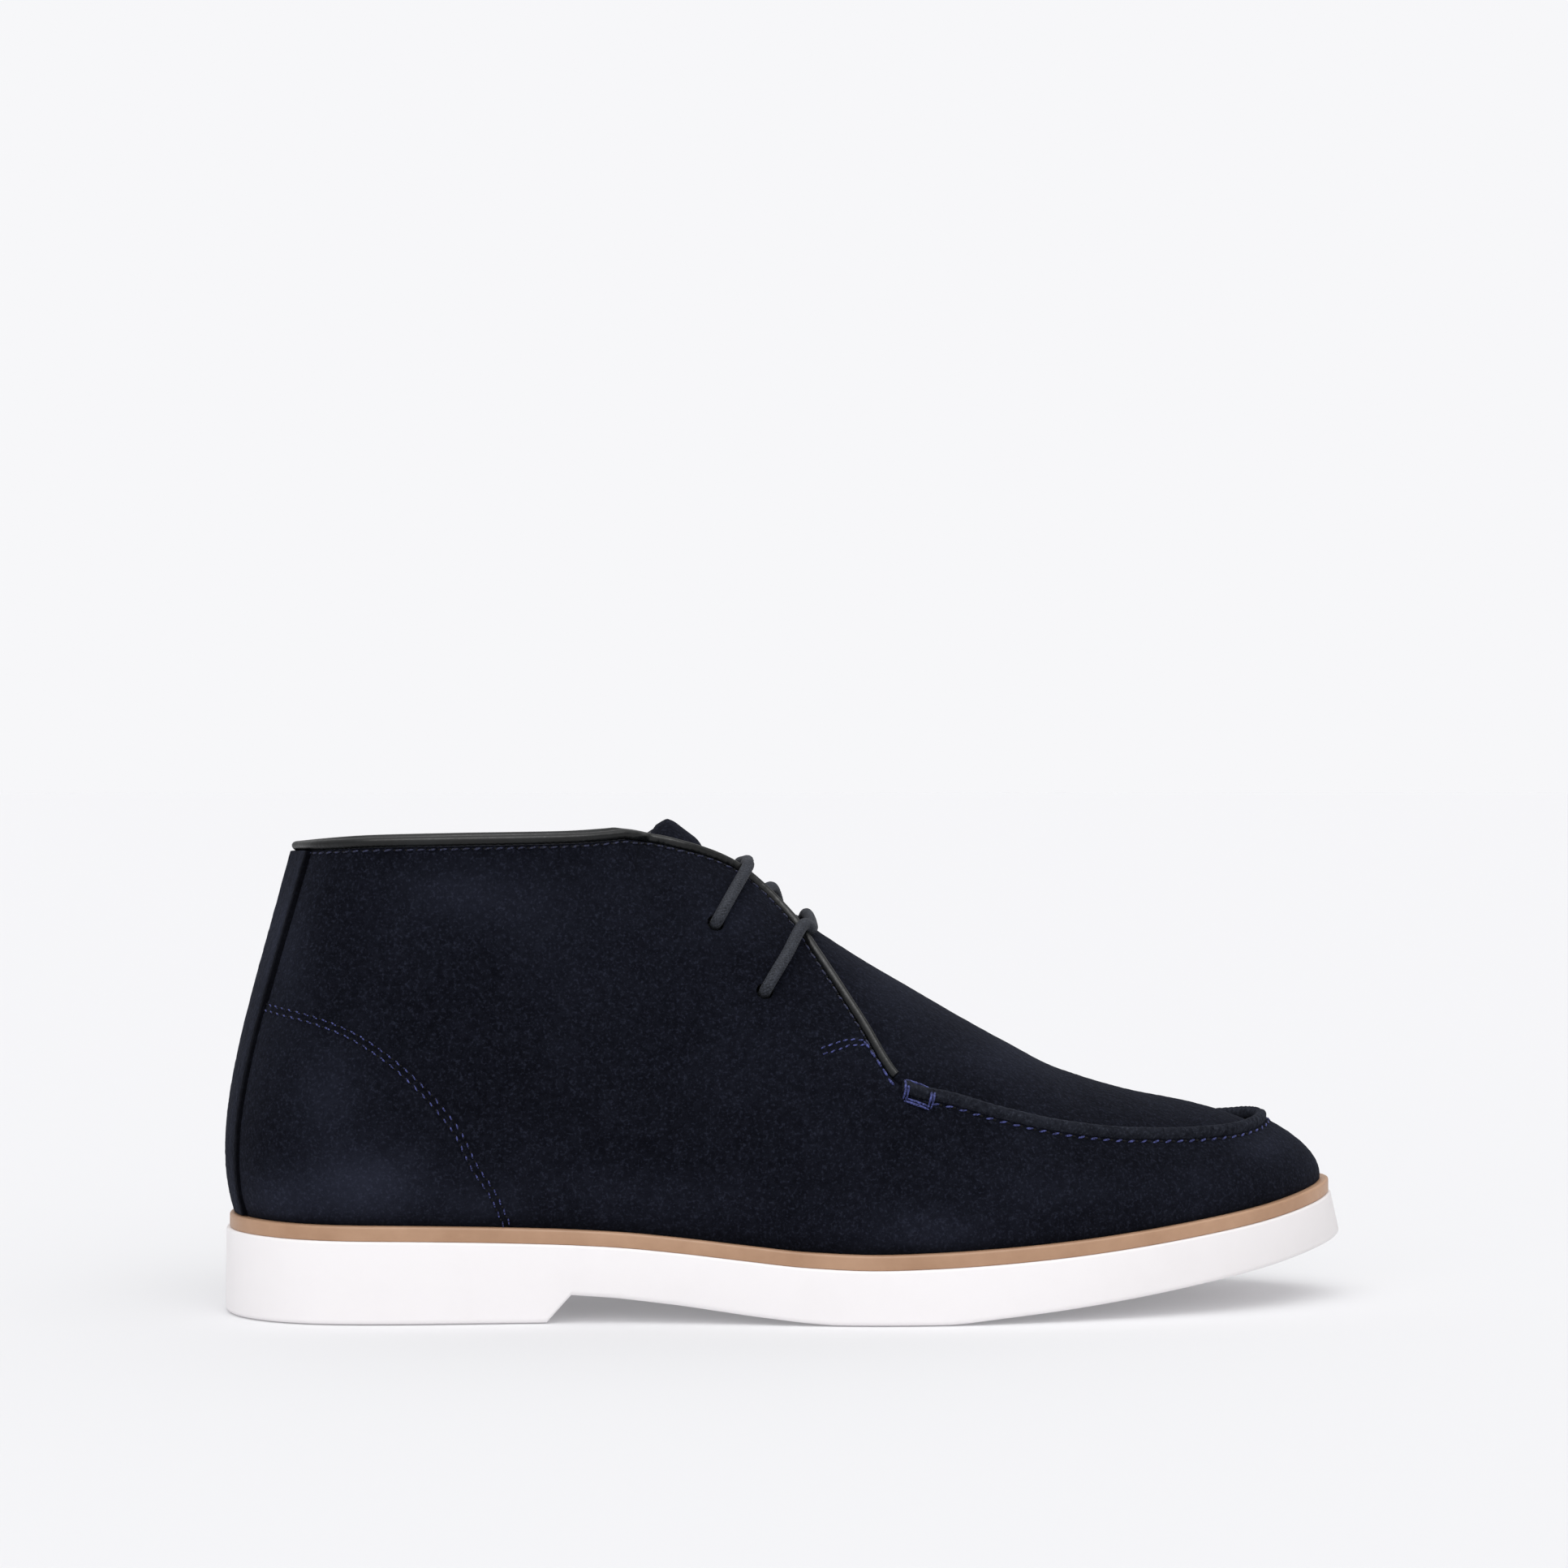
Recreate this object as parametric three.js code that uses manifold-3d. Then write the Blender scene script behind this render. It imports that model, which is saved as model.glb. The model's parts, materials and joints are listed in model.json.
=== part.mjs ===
// A man's suede chukka boot with a raised moccasin apron, for the right foot.
//
// Millimetres, +Z up, toe towards +X, outer side of the foot towards -Y.
// The tables count x from the back of the heel and y from the heel's own centre line.
// The finished group is moved so that its origin is under the middle of the sole, on the ground.

import * as THREE from "three";
import { mergeVertices } from "three/addons/utils/BufferGeometryUtils.js";
import Module from "manifold-3d";

const wasm = await Module();
wasm.setup();

// ---------------------------------------------------------------- driving sizes

const GAP = 0.3; // clearance between neighbouring pieces
const LAP_GAP = 0.45; // clearance between the upper and the curved tongue inside it
const WALL = 2.2; // suede and lining together
const TONGUE = 2.0; // thickness of the apron and its tongue
const WELT = 3.6; // height of the welt strip
const WELT_REACH = 8; // how far the welt runs in under the upper
const INSOLE = 2.4; // insole above the welt
const STRIP = 1.3; // thickness of the strip down the back of the heel
const BINDING = { across: 1.5, tall: 1.3 }; // half sizes of the rolled collar binding
const ROLL = { across: 1.5, tall: 1.4 }; // half sizes of the raised apron seam
const EYELET = 4.2; // diameter of the punched lace holes
const LACE = 3.8; // diameter of the round lace

const STATIONS = 66; // steps from the toe to the heel along each side
const RISES = 7; // steps up the wall of the upper
const TONGUE_END = 41; // station of the tongue's top
const BINDING_FROM = 29; // station where the binding starts beside the apron
const ROLL_END = 26; // station where the apron seam ends
const STRIP_FROM = 63; // station of the heel strip's edge

const OUTER = -1; // side of the little toe
const INNER = 1; // side of the big toe

// ---------------------------------------------------------------- tables

function table(columns, rows) {
  const names = columns.split(" ");
  return rows.map((row) => Object.fromEntries(names.map((name, i) => [name, row[i]])));
}

// Sole seen from above: toe tip, back along the outer side, round the heel, forward on the inner.
const OUTLINE = table("x y", [
  [301.8, 4.5],
  [293.0, -14.5],
  [272.0, -31.5],
  [245.5, -42.5],
  [217.0, -50.0],
  [188.0, -53.9],
  [160.0, -52.2],
  [132.0, -45.6],
  [104.0, -39.8],
  [76.0, -37.6],
  [48.0, -37.0],
  [21.0, -32.3],
  [4.5, -18.0],
  [0.0, 0.0],
  [4.5, 18.0],
  [21.0, 31.8],
  [48.0, 35.6],
  [76.0, 34.6],
  [104.0, 34.2],
  [132.0, 36.8],
  [160.0, 42.3],
  [188.0, 48.3],
  [216.5, 50.4],
  [246.0, 46.6],
  [273.0, 37.0],
  [293.5, 22.5],
]);
const HEEL_ROW = 13; // the row above that is the back of the heel

// Underside: heel block, breast, arch, flat tread under the ball, toe spring.
const UNDERSIDE = table("x z", [
  [0, 0],
  [83, 0],
  [89.3, 7.1],
  [101, 6.3],
  [118, 4.4],
  [134, 2.2],
  [148, 0.6],
  [156, 0],
  [184, 0],
  [200, 1.3],
  [218, 3.0],
  [236, 5.1],
  [255, 7.8],
  [275, 11.0],
  [302, 16.2],
]);
const FLATS = 9; // the rows up to the end of the tread are joined by straight lines

// Top of the white sole along the boot.
const SEAT = table("x z", [
  [0, 22.0],
  [26, 21.3],
  [51, 21.0],
  [83, 20.1],
  [101, 19.2],
  [118, 17.7],
  [134, 16.0],
  [150, 14.5],
  [167, 13.9],
  [183, 14.3],
  [200, 15.1],
  [218, 16.3],
  [236, 18.0],
  [255, 20.3],
  [275, 23.1],
  [291, 26.1],
  [302, 28.8],
]);

// How far each layer stands in from the sole's outline, from the toe (0) to the heel (1).
const INSETS = table("at sole welt upper", [
  [0, 2.5, 3.1, 5.4],
  [0.08, 0.8, 1.6, 4.2],
  [0.2, 0.4, 1.2, 3.6],
  [0.8, 0.3, 1.1, 3.2],
  [1, 0.2, 1.1, 3.7],
]);

// The last, in sections from the toe (0) to the heel (1). Each section is one curve up the wall:
// it leaves the welt with a rise and a belly outwards, and comes to the top point, which is
// the centre ridge in front and the collar behind, along a shoulder that may drop below it.
const LAST = table("at topX topHalf topY topZ rise belly shoulder drop", [
  [0, 258, 0, 4.0, 55.5, 9, 1.0, 0.55, 0],
  [0.08, 254, 0, 4.0, 56.3, 11.5, 1.5, 0.55, 0],
  [0.153, 245, 0, 3.8, 58.1, 15.5, 2.0, 0.55, 0],
  [0.245, 224, 0, 3.4, 64.5, 21, 2.0, 0.55, 0],
  [0.29, 211, 0, 3.2, 71.2, 25, 2.5, 0.55, 0],
  [0.339, 197, 0, 3.0, 78.9, 30, 2.5, 0.55, 0],
  [0.38, 184, 0, 3.0, 86.5, 34, 2.5, 0.54, 0],
  [0.417, 172, 0, 3.0, 93.5, 38, 2.5, 0.53, 0],
  [0.46, 159, 0, 2.8, 101.9, 42, 2.5, 0.52, 0],
  [0.5, 147, 0, 2.5, 110.2, 46, 2.0, 0.5, 0],
  [0.545, 134.2, 0, 2.0, 121.1, 50, 2.0, 0.5, 0],
  [0.58, 125.5, 0, 1.6, 127.4, 50, 2.0, 0.54, 0],
  [0.61, 117, 0, 1.2, 132.8, 50, 2.0, 0.63, 1],
  [0.626, 113.5, 0, 1.0, 132.8, 49, 2.0, 0.72, 4],
  [0.636, 111, 15.5, 0.9, 126.8, 40, 2.0, 0.71, 19],
  [0.652, 108.3, 18, 0.8, 125.0, 40, 2.0, 0.68, 21.5],
  [0.68, 101, 21.5, 0.6, 124.0, 40, 2.5, 0.64, 28],
  [0.72, 90, 25.5, 0.4, 123.3, 38, 3.0, 0.58, 34],
  [0.8, 62, 29.5, 0, 122.8, 32, 4.0, 0.6, 40],
  [0.88, 38, 25.5, 0, 122.3, 25, 5.5, 0.7, 43],
  [0.945, 24.0, 14.5, 0, 121.5, 23, 7.0, 0.75, 43],
  [1, 18.3, 0, 0, 121.1, 22, 7.6, 0.78, 42.5],
]);

// Cut edge of the upper seen from the side: collar, facing, apron seam, toe.
const EDGE = table("x z", [
  [104, 124.4],
  [112, 123.4],
  [120, 121.6],
  [127, 119.6],
  [134, 116.6],
  [141.4, 110.9],
  [148.8, 102.6],
  [153.7, 94.4],
  [163.6, 77.6],
  [173, 61.8],
  [179, 58.6],
  [187, 56.9],
  [200, 53.0],
  [219, 48.6],
  [237, 46.3],
  [256, 45.6],
  [266, 45.8],
  [275, 46.8],
  [282, 48.6],
]);

// Lace holes, and where the bar of lace between them goes over the facing, from the side.
const LACING = table("name eyeX eyeZ overX overZ ridgeX ridgeLift", [
  ["upper", 128.0, 102.5, 136.0, 114.6, 139.0, 3.6],
  ["lower", 140.2, 85.0, 151.0, 98.5, 155.5, 0.9],
]);
const CROSSING = { x: 147.0, reach: 4.2, rise: 0.955 }; // where the lace crosses on the tongue

// ---------------------------------------------------------------- curves through the tables

// A smooth curve through rows that never overshoots them.
function curve(rows, key, value) {
  const x = rows.map((row) => row[key]);
  const y = rows.map((row) => row[value]);
  const last = x.length - 1;
  const slope = x.slice(1).map((next, i) => (y[i + 1] - y[i]) / (next - x[i]));
  const turn = x.map((_, i) => {
    if (i === 0) return slope[0];
    if (i === last) return slope[last - 1];
    const product = slope[i - 1] * slope[i];
    return product <= 0 ? 0 : (2 * product) / (slope[i - 1] + slope[i]);
  });
  return (at) => {
    const k = THREE.MathUtils.clamp(at, x[0], x[last]);
    let i = 0;
    while (i < last - 1 && k > x[i + 1]) i += 1;
    const span = x[i + 1] - x[i];
    const t = (k - x[i]) / span;
    const rest = 1 - t;
    const start = y[i] * (1 + 2 * t) * rest * rest + turn[i] * span * t * rest * rest;
    return start + y[i + 1] * t * t * (3 - 2 * t) - turn[i + 1] * span * t * t * rest;
  };
}

const seatAt = curve(SEAT, "x", "z");
const edgeAt = curve(EDGE, "x", "z");
const insetOf = Object.fromEntries(
  ["sole", "welt", "upper"].map((layer) => [layer, curve(INSETS, "at", layer)])
);
const lastAt = Object.fromEntries(
  Object.keys(LAST[0]).slice(1).map((name) => [name, curve(LAST, "at", name)])
);
const weltTop = (x) => seatAt(x) + GAP + WELT;

// A closed cubic spline through the outline, as a function of the row number.
function closedSpline(rows) {
  const count = rows.length;
  const points = rows.map((row) => new THREE.Vector2(row.x, row.y));
  const pull = points.map((point) => point.clone());
  const at = (list, i) => list[((i % count) + count) % count];
  const SWEEPS = 40; // enough for the pulls to settle
  for (let sweep = 0; sweep < SWEEPS; sweep += 1) {
    for (let i = 0; i < count; i += 1) {
      const sides = at(pull, i - 1).clone().add(at(pull, i + 1));
      pull[i] = points[i].clone().multiplyScalar(6).sub(sides).divideScalar(4);
    }
  }
  return (row) => {
    const i = Math.floor(row);
    const t = row - i;
    const weights = [
      (1 - t) ** 3,
      3 * t ** 3 - 6 * t ** 2 + 4,
      -3 * t ** 3 + 3 * t ** 2 + 3 * t + 1,
      t ** 3,
    ];
    const sum = new THREE.Vector2();
    weights.forEach((weight, k) => sum.addScaledVector(at(pull, i + k - 1), weight / 6));
    return sum;
  };
}

// One side of the outline by its share of the length around it, 0 at the toe and 1 at the heel.
const outline = closedSpline(OUTLINE);
const FINE = 600;

function sideOfOutline(side) {
  const rowAt = (share) => (side === OUTER ? share * HEEL_ROW
    : OUTLINE.length - share * (OUTLINE.length - HEEL_ROW));
  const rows = Array.from({ length: FINE + 1 }, (_, i) => rowAt(i / FINE));
  const points = rows.map((row) => outline(row));
  const run = [0];
  points.slice(1).forEach((point, i) => run.push(run[i] + point.distanceTo(points[i])));
  return (at) => {
    if (at === 0 || at === 1) return rowAt(at);
    const goal = at * run[FINE];
    let i = 0;
    while (i < FINE - 1 && run[i + 1] < goal) i += 1;
    const t = (goal - run[i]) / (run[i + 1] - run[i]);
    return rows[i] + (rows[i + 1] - rows[i]) * t;
  };
}

const rowOn = { [OUTER]: sideOfOutline(OUTER), [INNER]: sideOfOutline(INNER) };

// A point of the outline, moved in by an inset.
function footprint(side, at, inset) {
  const STEP = 0.01;
  const row = rowOn[side](at);
  const along = outline(row + STEP).sub(outline(row - STEP)).normalize();
  const inwards = new THREE.Vector2(along.y, -along.x);
  return outline(row).addScaledVector(inwards, inset);
}

// ---------------------------------------------------------------- the last

// Four pulls of the wall curve of one section.
function section(side, at) {
  const inset = insetOf.upper(at);
  const foot = footprint(side, at, inset);
  const out = foot.clone().sub(footprint(side, at, inset + 1));
  const size = Object.fromEntries(Object.keys(lastAt).map((name) => [name, lastAt[name](at)]));
  const floor = weltTop(foot.x) + GAP;
  const topY = size.topY + side * size.topHalf;
  const STEP = 0.004;
  const aheadX = lastAt.topX(at - STEP) - lastAt.topX(at + STEP);
  const tilt = (lastAt.topZ(at - STEP) - lastAt.topZ(at + STEP)) / aheadX;
  const reachX = (foot.x - size.topX) * size.shoulder;
  const reachY = (foot.y - topY) * size.shoulder;
  return [
    new THREE.Vector3(foot.x, foot.y, floor),
    new THREE.Vector3(foot.x + out.x * size.belly, foot.y + out.y * size.belly, floor + size.rise),
    new THREE.Vector3(size.topX + reachX, topY + reachY, size.topZ + tilt * reachX - size.drop),
    new THREE.Vector3(size.topX, topY, size.topZ),
  ];
}

const keptSections = new Map();

function wallCurve(side, at) {
  const key = `${side} ${at.toFixed(6)}`;
  if (!keptSections.has(key)) {
    keptSections.set(key, new THREE.CubicBezierCurve3(...section(side, at)));
  }
  return keptSections.get(key);
}

// Outer surface of the upper. A share past the toe or heel carries on along the other side.
function skin(side, at, up) {
  if (at < 0) return wallCurve(-side, -at).getPoint(up);
  if (at > 1) return wallCurve(-side, 2 - at).getPoint(up);
  return wallCurve(side, at).getPoint(up);
}

function outwards(side, at, up) {
  const STEP = 0.004;
  const UNDER_RIDGE = 0.97; // the curves run together at the ridge, so the last bit is skipped
  const height = Math.min(up, UNDER_RIDGE);
  const along = skin(side, at + STEP, height).sub(skin(side, at - STEP, height));
  const climb = skin(side, at, height + STEP).sub(skin(side, at, Math.max(height - STEP, 0)));
  return climb.cross(along).multiplyScalar(-side).normalize();
}

// The same surface moved out, or in where the distance is negative.
// The toe line and the heel line belong to both sides, and are always worked out from one.
function shell(side, at, up, distance) {
  const owner = at === 0 || at === 1 ? OUTER : side;
  return skin(owner, at, up).addScaledVector(outwards(owner, at, up), distance);
}

// Height on the wall curve of the upper's cut edge, 1 where the edge is the collar itself.
function cutHeight(side, at) {
  const above = (up) => {
    const point = skin(side, at, up);
    return point.z - edgeAt(point.x);
  };
  if (above(1) < 0) return 1;
  let low = 0;
  let high = 1;
  const HALVINGS = 30;
  for (let i = 0; i < HALVINGS; i += 1) {
    const middle = (low + high) / 2;
    if (above(middle) < 0) low = middle;
    else high = middle;
  }
  return low;
}

// Place on the wall of a point given by its x and z from the side.
function placeOnWall(side, x, z) {
  const HALVINGS = 30;
  const heightAt = (at) => {
    let low = 0;
    let high = 1;
    for (let i = 0; i < HALVINGS; i += 1) {
      const middle = (low + high) / 2;
      if (skin(side, at, middle).z < z) low = middle;
      else high = middle;
    }
    return low;
  };
  let front = 0.3;
  let back = 0.9;
  for (let i = 0; i < HALVINGS; i += 1) {
    const middle = (front + back) / 2;
    if (skin(side, middle, heightAt(middle)).x > x) front = middle;
    else back = middle;
  }
  return { at: front, up: heightAt(front) };
}

// Stations round the whole boot: toe, outer side, heel, inner side.
function ringOfStations() {
  const ring = [];
  for (let i = 0; i <= STATIONS; i += 1) ring.push({ side: OUTER, at: i / STATIONS });
  for (let i = STATIONS - 1; i > 0; i -= 1) ring.push({ side: INNER, at: i / STATIONS });
  return ring;
}

// Fewer stations for the layers of the bottom: all of them round the toe and the heel, and
// every third along the sides.
function bottomStations() {
  const ROUND = 9;
  const EVERY = 3;
  const kept = [];
  for (let i = 0; i <= STATIONS; i += 1) {
    const fromEnd = Math.min(i, STATIONS - i);
    if (fromEnd <= ROUND || i % EVERY === 0) kept.push(i / STATIONS);
  }
  return kept;
}

// Stations from one on the outer side to its twin on the inner side, round the heel or the toe.
function roundHeel(from) {
  return ringOfStations().slice(from, 2 * STATIONS - from + 1);
}

function roundToe(to) {
  const ring = ringOfStations();
  return [...ring.slice(2 * STATIONS - to), ...ring.slice(0, to + 1)];
}

// ---------------------------------------------------------------- solids from points

// Triangles from a list of corner points, shared corners merged and empty triangles dropped.
function geometryFrom(corners) {
  const loose = new THREE.BufferGeometry().setFromPoints(corners);
  const merged = mergeVertices(loose, 1e-3);
  const index = merged.index.array;
  const kept = [];
  for (let i = 0; i < index.length; i += 3) {
    const [a, b, c] = index.slice(i, i + 3);
    if (a !== b && b !== c && c !== a) kept.push(a, b, c);
  }
  merged.setIndex(kept);
  merged.computeVertexNormals();
  return merged;
}

function quad(list, a, b, c, d) {
  list.push(a, b, c, a, c, d);
}

// A solid from a ring of cross-sections, each a closed loop of points.
// The loops are joined in turn. An open run gets an end across its first and its last loop,
// and a first loop that is folded flat onto itself needs none.
function loft(loops, { closed, folded = false }) {
  const corners = [];
  const sides = loops[0].length;
  const runs = closed ? loops.length : loops.length - 1;
  for (let i = 0; i < runs; i += 1) {
    const here = loops[i];
    const next = loops[(i + 1) % loops.length];
    for (let j = 0; j < sides; j += 1) {
      const k = (j + 1) % sides;
      quad(corners, here[j], next[j], next[k], here[k]);
    }
  }
  if (!closed) {
    if (!folded) endCap(corners, loops[0], false);
    endCap(corners, loops[loops.length - 1], true);
  }
  return outFacing(geometryFrom(corners));
}

// A cap laddered across a loop, which suits a thin sheet's end as well as a round one.
function endCap(corners, loop, turned) {
  const half = loop.length / 2;
  for (let j = 0; j < half; j += 1) {
    const strip = [loop[j], loop[j + 1], loop[loop.length - 2 - j], loop[loop.length - 1 - j]];
    if (j === half - 1) continue;
    if (turned) strip.reverse();
    quad(corners, ...strip);
  }
}

// Turns every triangle round when the solid's volume comes out negative.
function outFacing(geometry) {
  const position = geometry.attributes.position;
  const index = geometry.index.array;
  const [a, b, c] = [new THREE.Vector3(), new THREE.Vector3(), new THREE.Vector3()];
  let volume = 0;
  for (let i = 0; i < index.length; i += 3) {
    a.fromBufferAttribute(position, index[i]);
    b.fromBufferAttribute(position, index[i + 1]);
    c.fromBufferAttribute(position, index[i + 2]);
    volume += a.dot(b.cross(c));
  }
  if (volume < 0) {
    for (let i = 0; i < index.length; i += 3) {
      [index[i + 1], index[i + 2]] = [index[i + 2], index[i + 1]];
    }
  }
  return geometry;
}

// A closed mesh as a solid that can be joined and cut.
function solid(geometry) {
  const bare = geometry.clone();
  bare.deleteAttribute("normal");
  bare.deleteAttribute("uv");
  const merged = mergeVertices(bare, 1e-4);
  return new wasm.Manifold(new wasm.Mesh({
    numProp: 3,
    vertProperties: new Float32Array(merged.attributes.position.array),
    triVerts: new Uint32Array(merged.index.array),
  }));
}

function geometryOf(manifold) {
  const mesh = manifold.getMesh();
  const geometry = new THREE.BufferGeometry();
  geometry.setAttribute("position", new THREE.BufferAttribute(mesh.vertProperties, 3));
  geometry.setIndex(new THREE.BufferAttribute(mesh.triVerts, 1));
  geometry.computeVertexNormals();
  return geometry;
}

// ---------------------------------------------------------------- sole, welt and insole

// A layer of the bottom: a cross-section at each station, from the outer to the inner edge.
function layer(inset, low, high) {
  const loops = bottomStations().map((at) => {
    const outer = footprint(OUTER, at, inset(at));
    const inner = footprint(INNER, at, inset(at));
    return [
      new THREE.Vector3(outer.x, outer.y, low(outer.x)),
      new THREE.Vector3(inner.x, inner.y, low(inner.x)),
      new THREE.Vector3(inner.x, inner.y, high(inner.x)),
      new THREE.Vector3(outer.x, outer.y, high(outer.x)),
    ];
  });
  return loft(loops, { closed: false });
}

// A body with the sole's outline, leaning in towards its top, cut by the side profile.
function outsole() {
  const LOW = -5;
  const HIGH = 40;
  const leaning = bottomStations().map((at) => {
    const corner = (side, z) => {
      const x = footprint(side, at, 0).x;
      const share = (z - soleUnder(x)) / (seatAt(x) - soleUnder(x));
      const plan = footprint(side, at, insetOf.sole(at) * share);
      return new THREE.Vector3(plan.x, plan.y, z);
    };
    return [corner(OUTER, LOW), corner(INNER, LOW), corner(INNER, HIGH), corner(OUTER, HIGH)];
  });
  const body = solid(loft(leaning, { closed: false }));
  return geometryOf(body.intersect(solid(sideProfile())));
}

const springAt = curve(UNDERSIDE.slice(FLATS - 2), "x", "z");

function soleUnder(x) {
  const row = UNDERSIDE.slice(0, FLATS).findIndex((point) => point.x > x);
  if (row < 1) return row === 0 ? 0 : springAt(x);
  const [a, b] = [UNDERSIDE[row - 1], UNDERSIDE[row]];
  return a.z + ((b.z - a.z) * (x - a.x)) / (b.x - a.x);
}

// Heel, breast, arch, tread and toe spring below, seat above, as wide as any foot.
function sideProfile() {
  const PAST = 12; // beyond each end of the outline
  const WIDE = 140;
  const STEP = 9;
  const end = SEAT[SEAT.length - 1].x;
  const shape = new THREE.Shape();
  shape.moveTo(-PAST, 0);
  UNDERSIDE.slice(1, FLATS).forEach((row) => shape.lineTo(row.x, row.z));
  for (let x = UNDERSIDE[FLATS - 1].x + STEP; x < end; x += STEP) shape.lineTo(x, springAt(x));
  const rise = (springAt(end) - springAt(end - STEP)) / STEP;
  shape.lineTo(end + PAST, springAt(end) + rise * PAST);
  const lift = (seatAt(end) - seatAt(end - STEP)) / STEP;
  shape.lineTo(end + PAST, seatAt(end) + lift * PAST);
  for (let x = end; x > 0; x -= STEP) shape.lineTo(x, seatAt(x));
  shape.lineTo(-PAST, seatAt(0));
  const profile = new THREE.ExtrudeGeometry(shape, { depth: WIDE, bevelEnabled: false });
  return profile.rotateX(Math.PI / 2).translate(0, WIDE / 2, 0);
}

// A strip round the edge, under the cut foot of the upper.
function welt() {
  const outer = bottomStations().map((at) => ({ side: OUTER, at }));
  const inner = bottomStations().slice(1, -1).map((at) => ({ side: INNER, at })).reverse();
  const loops = [...outer, ...inner].map(({ side, at }) => {
    const edge = footprint(side, at, insetOf.welt(at));
    const back = footprint(side, at, insetOf.welt(at) + WELT_REACH);
    return [
      new THREE.Vector3(edge.x, edge.y, seatAt(edge.x) + GAP),
      new THREE.Vector3(back.x, back.y, seatAt(back.x) + GAP),
      new THREE.Vector3(back.x, back.y, weltTop(back.x)),
      new THREE.Vector3(edge.x, edge.y, weltTop(edge.x)),
    ];
  });
  return loft(loops, { closed: true });
}

// The insole lies inside the upper, on the welt, and its core fills the welt's ring.
function insole() {
  const padInset = (at) => insetOf.upper(at) + WALL + 2 * GAP;
  const coreInset = (at) => insetOf.welt(at) + WELT_REACH + GAP;
  const pad = layer(padInset, (x) => weltTop(x) + GAP, (x) => weltTop(x) + GAP + INSOLE);
  const core = layer(coreInset, (x) => seatAt(x) + GAP, (x) => weltTop(x) + GAP + INSOLE / 2);
  return geometryOf(solid(pad).add(solid(core)));
}

// ---------------------------------------------------------------- upper

// One hollow wall: up the outside to the cut edge, over it and down the inside.
function upper() {
  const loops = ringOfStations().map(({ side, at }) => {
    const cut = cutHeight(side, at);
    const outside = [];
    const inside = [];
    for (let j = 0; j <= RISES; j += 1) {
      const up = (cut * j) / RISES;
      outside.push(shell(side, at, up, 0));
      inside.push(shell(side, at, up, -WALL));
    }
    inside[0].z = outside[0].z;
    return [...outside, ...inside.reverse()];
  });
  let wall = solid(loft(loops, { closed: true }));
  LACING.forEach((row) => {
    [OUTER, INNER].forEach((side) => {
      wall = wall.subtract(solid(eyeletDrill(side, row)));
    });
  });
  return geometryOf(wall);
}

function eyeletDrill(side, row) {
  const SIDES = 12;
  const { at, up } = placeOnWall(side, row.eyeX, row.eyeZ);
  const drill = new THREE.CylinderGeometry(EYELET / 2, EYELET / 2, 4 * WALL, SIDES);
  const turn = new THREE.Quaternion();
  turn.setFromUnitVectors(new THREE.Vector3(0, 1, 0), outwards(side, at, up));
  const place = skin(side, at, up);
  return drill.applyMatrix4(new THREE.Matrix4().compose(place, turn, new THREE.Vector3(1, 1, 1)));
}

// Apron and tongue in one sheet. It starts one rise below the upper's cut edge, inside it.
function apronTongue() {
  const ACROSS = 4;
  const outside = -(WALL + LAP_GAP);
  const depths = [outside, outside - TONGUE];
  const loops = [];
  for (let i = 0; i <= TONGUE_END; i += 1) {
    const at = i / STATIONS;
    const half = (side) => {
      const cut = cutHeight(side, at);
      const heights = [(cut * (RISES - 1)) / RISES];
      for (let j = 0; j < ACROSS; j += 1) heights.push(cut + ((1 - cut) * j) / ACROSS);
      return heights.map((up) => depths.map((depth) => shell(side, at, up, depth)));
    };
    const crest = depths.map((depth) => (
      shell(OUTER, at, 1, depth).add(shell(INNER, at, 1, depth)).divideScalar(2)
    ));
    const line = [...half(OUTER), crest, ...half(INNER).reverse()];
    loops.push([...line.map((pair) => pair[0]), ...line.map((pair) => pair[1]).reverse()]);
  }
  return loft(loops, { closed: false, folded: true });
}

// The strip over the back seam, cut between the upper's surface and one further out.
function heelStrip() {
  const SHORT = 0.994; // it stops just below the binding
  const START = 0.01;
  const rows = Array.from({ length: RISES + 1 }, (_, j) => START + ((SHORT - START) * j) / RISES);
  const loops = roundHeel(STRIP_FROM).map(({ side, at }) => [
    ...rows.map((up) => shell(side, at, up, GAP)),
    ...rows.map((up) => shell(side, at, up, GAP + STRIP)).reverse(),
  ]);
  return loft(loops, { closed: false });
}

// ---------------------------------------------------------------- beads along the cut edge

// Middle of the cut edge with its outward and its edgeways direction.
function edgeFrame(stations) {
  const points = stations.map(({ side, at }) => shell(side, at, cutHeight(side, at), 0));
  return stations.map(({ side, at }, i) => {
    const out = outwards(side, at, cutHeight(side, at));
    const before = points[Math.max(i - 1, 0)];
    const after = points[Math.min(i + 1, points.length - 1)];
    const along = after.clone().sub(before).normalize();
    const over = out.clone().cross(along).normalize();
    if (over.dot(skin(side, at, 1).sub(skin(side, at, 0.5))) < 0) over.negate();
    return { point: points[i], out, over };
  });
}

function bead(stations, { across, tall }, offset) {
  const SIDES = 8;
  const loops = edgeFrame(stations).map(({ point, out, over }) => {
    const middle = point.clone().addScaledVector(out, offset.out).addScaledVector(over, offset.over);
    return Array.from({ length: SIDES }, (_, k) => {
      const angle = ((k + 0.5) * 2 * Math.PI) / SIDES;
      return middle.clone()
        .addScaledVector(out, across * Math.cos(angle))
        .addScaledVector(over, tall * Math.sin(angle));
    });
  });
  return loft(loops, { closed: false });
}

function toplineBinding() {
  const out = BINDING.across - WALL + GAP; // its back is clear of the tongue under it
  return bead(roundHeel(BINDING_FROM), BINDING, { out, over: GAP + BINDING.tall });
}

function apronRoll() {
  return bead(roundToe(ROLL_END), ROLL, { out: GAP + ROLL.across, over: 0 });
}

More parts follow.
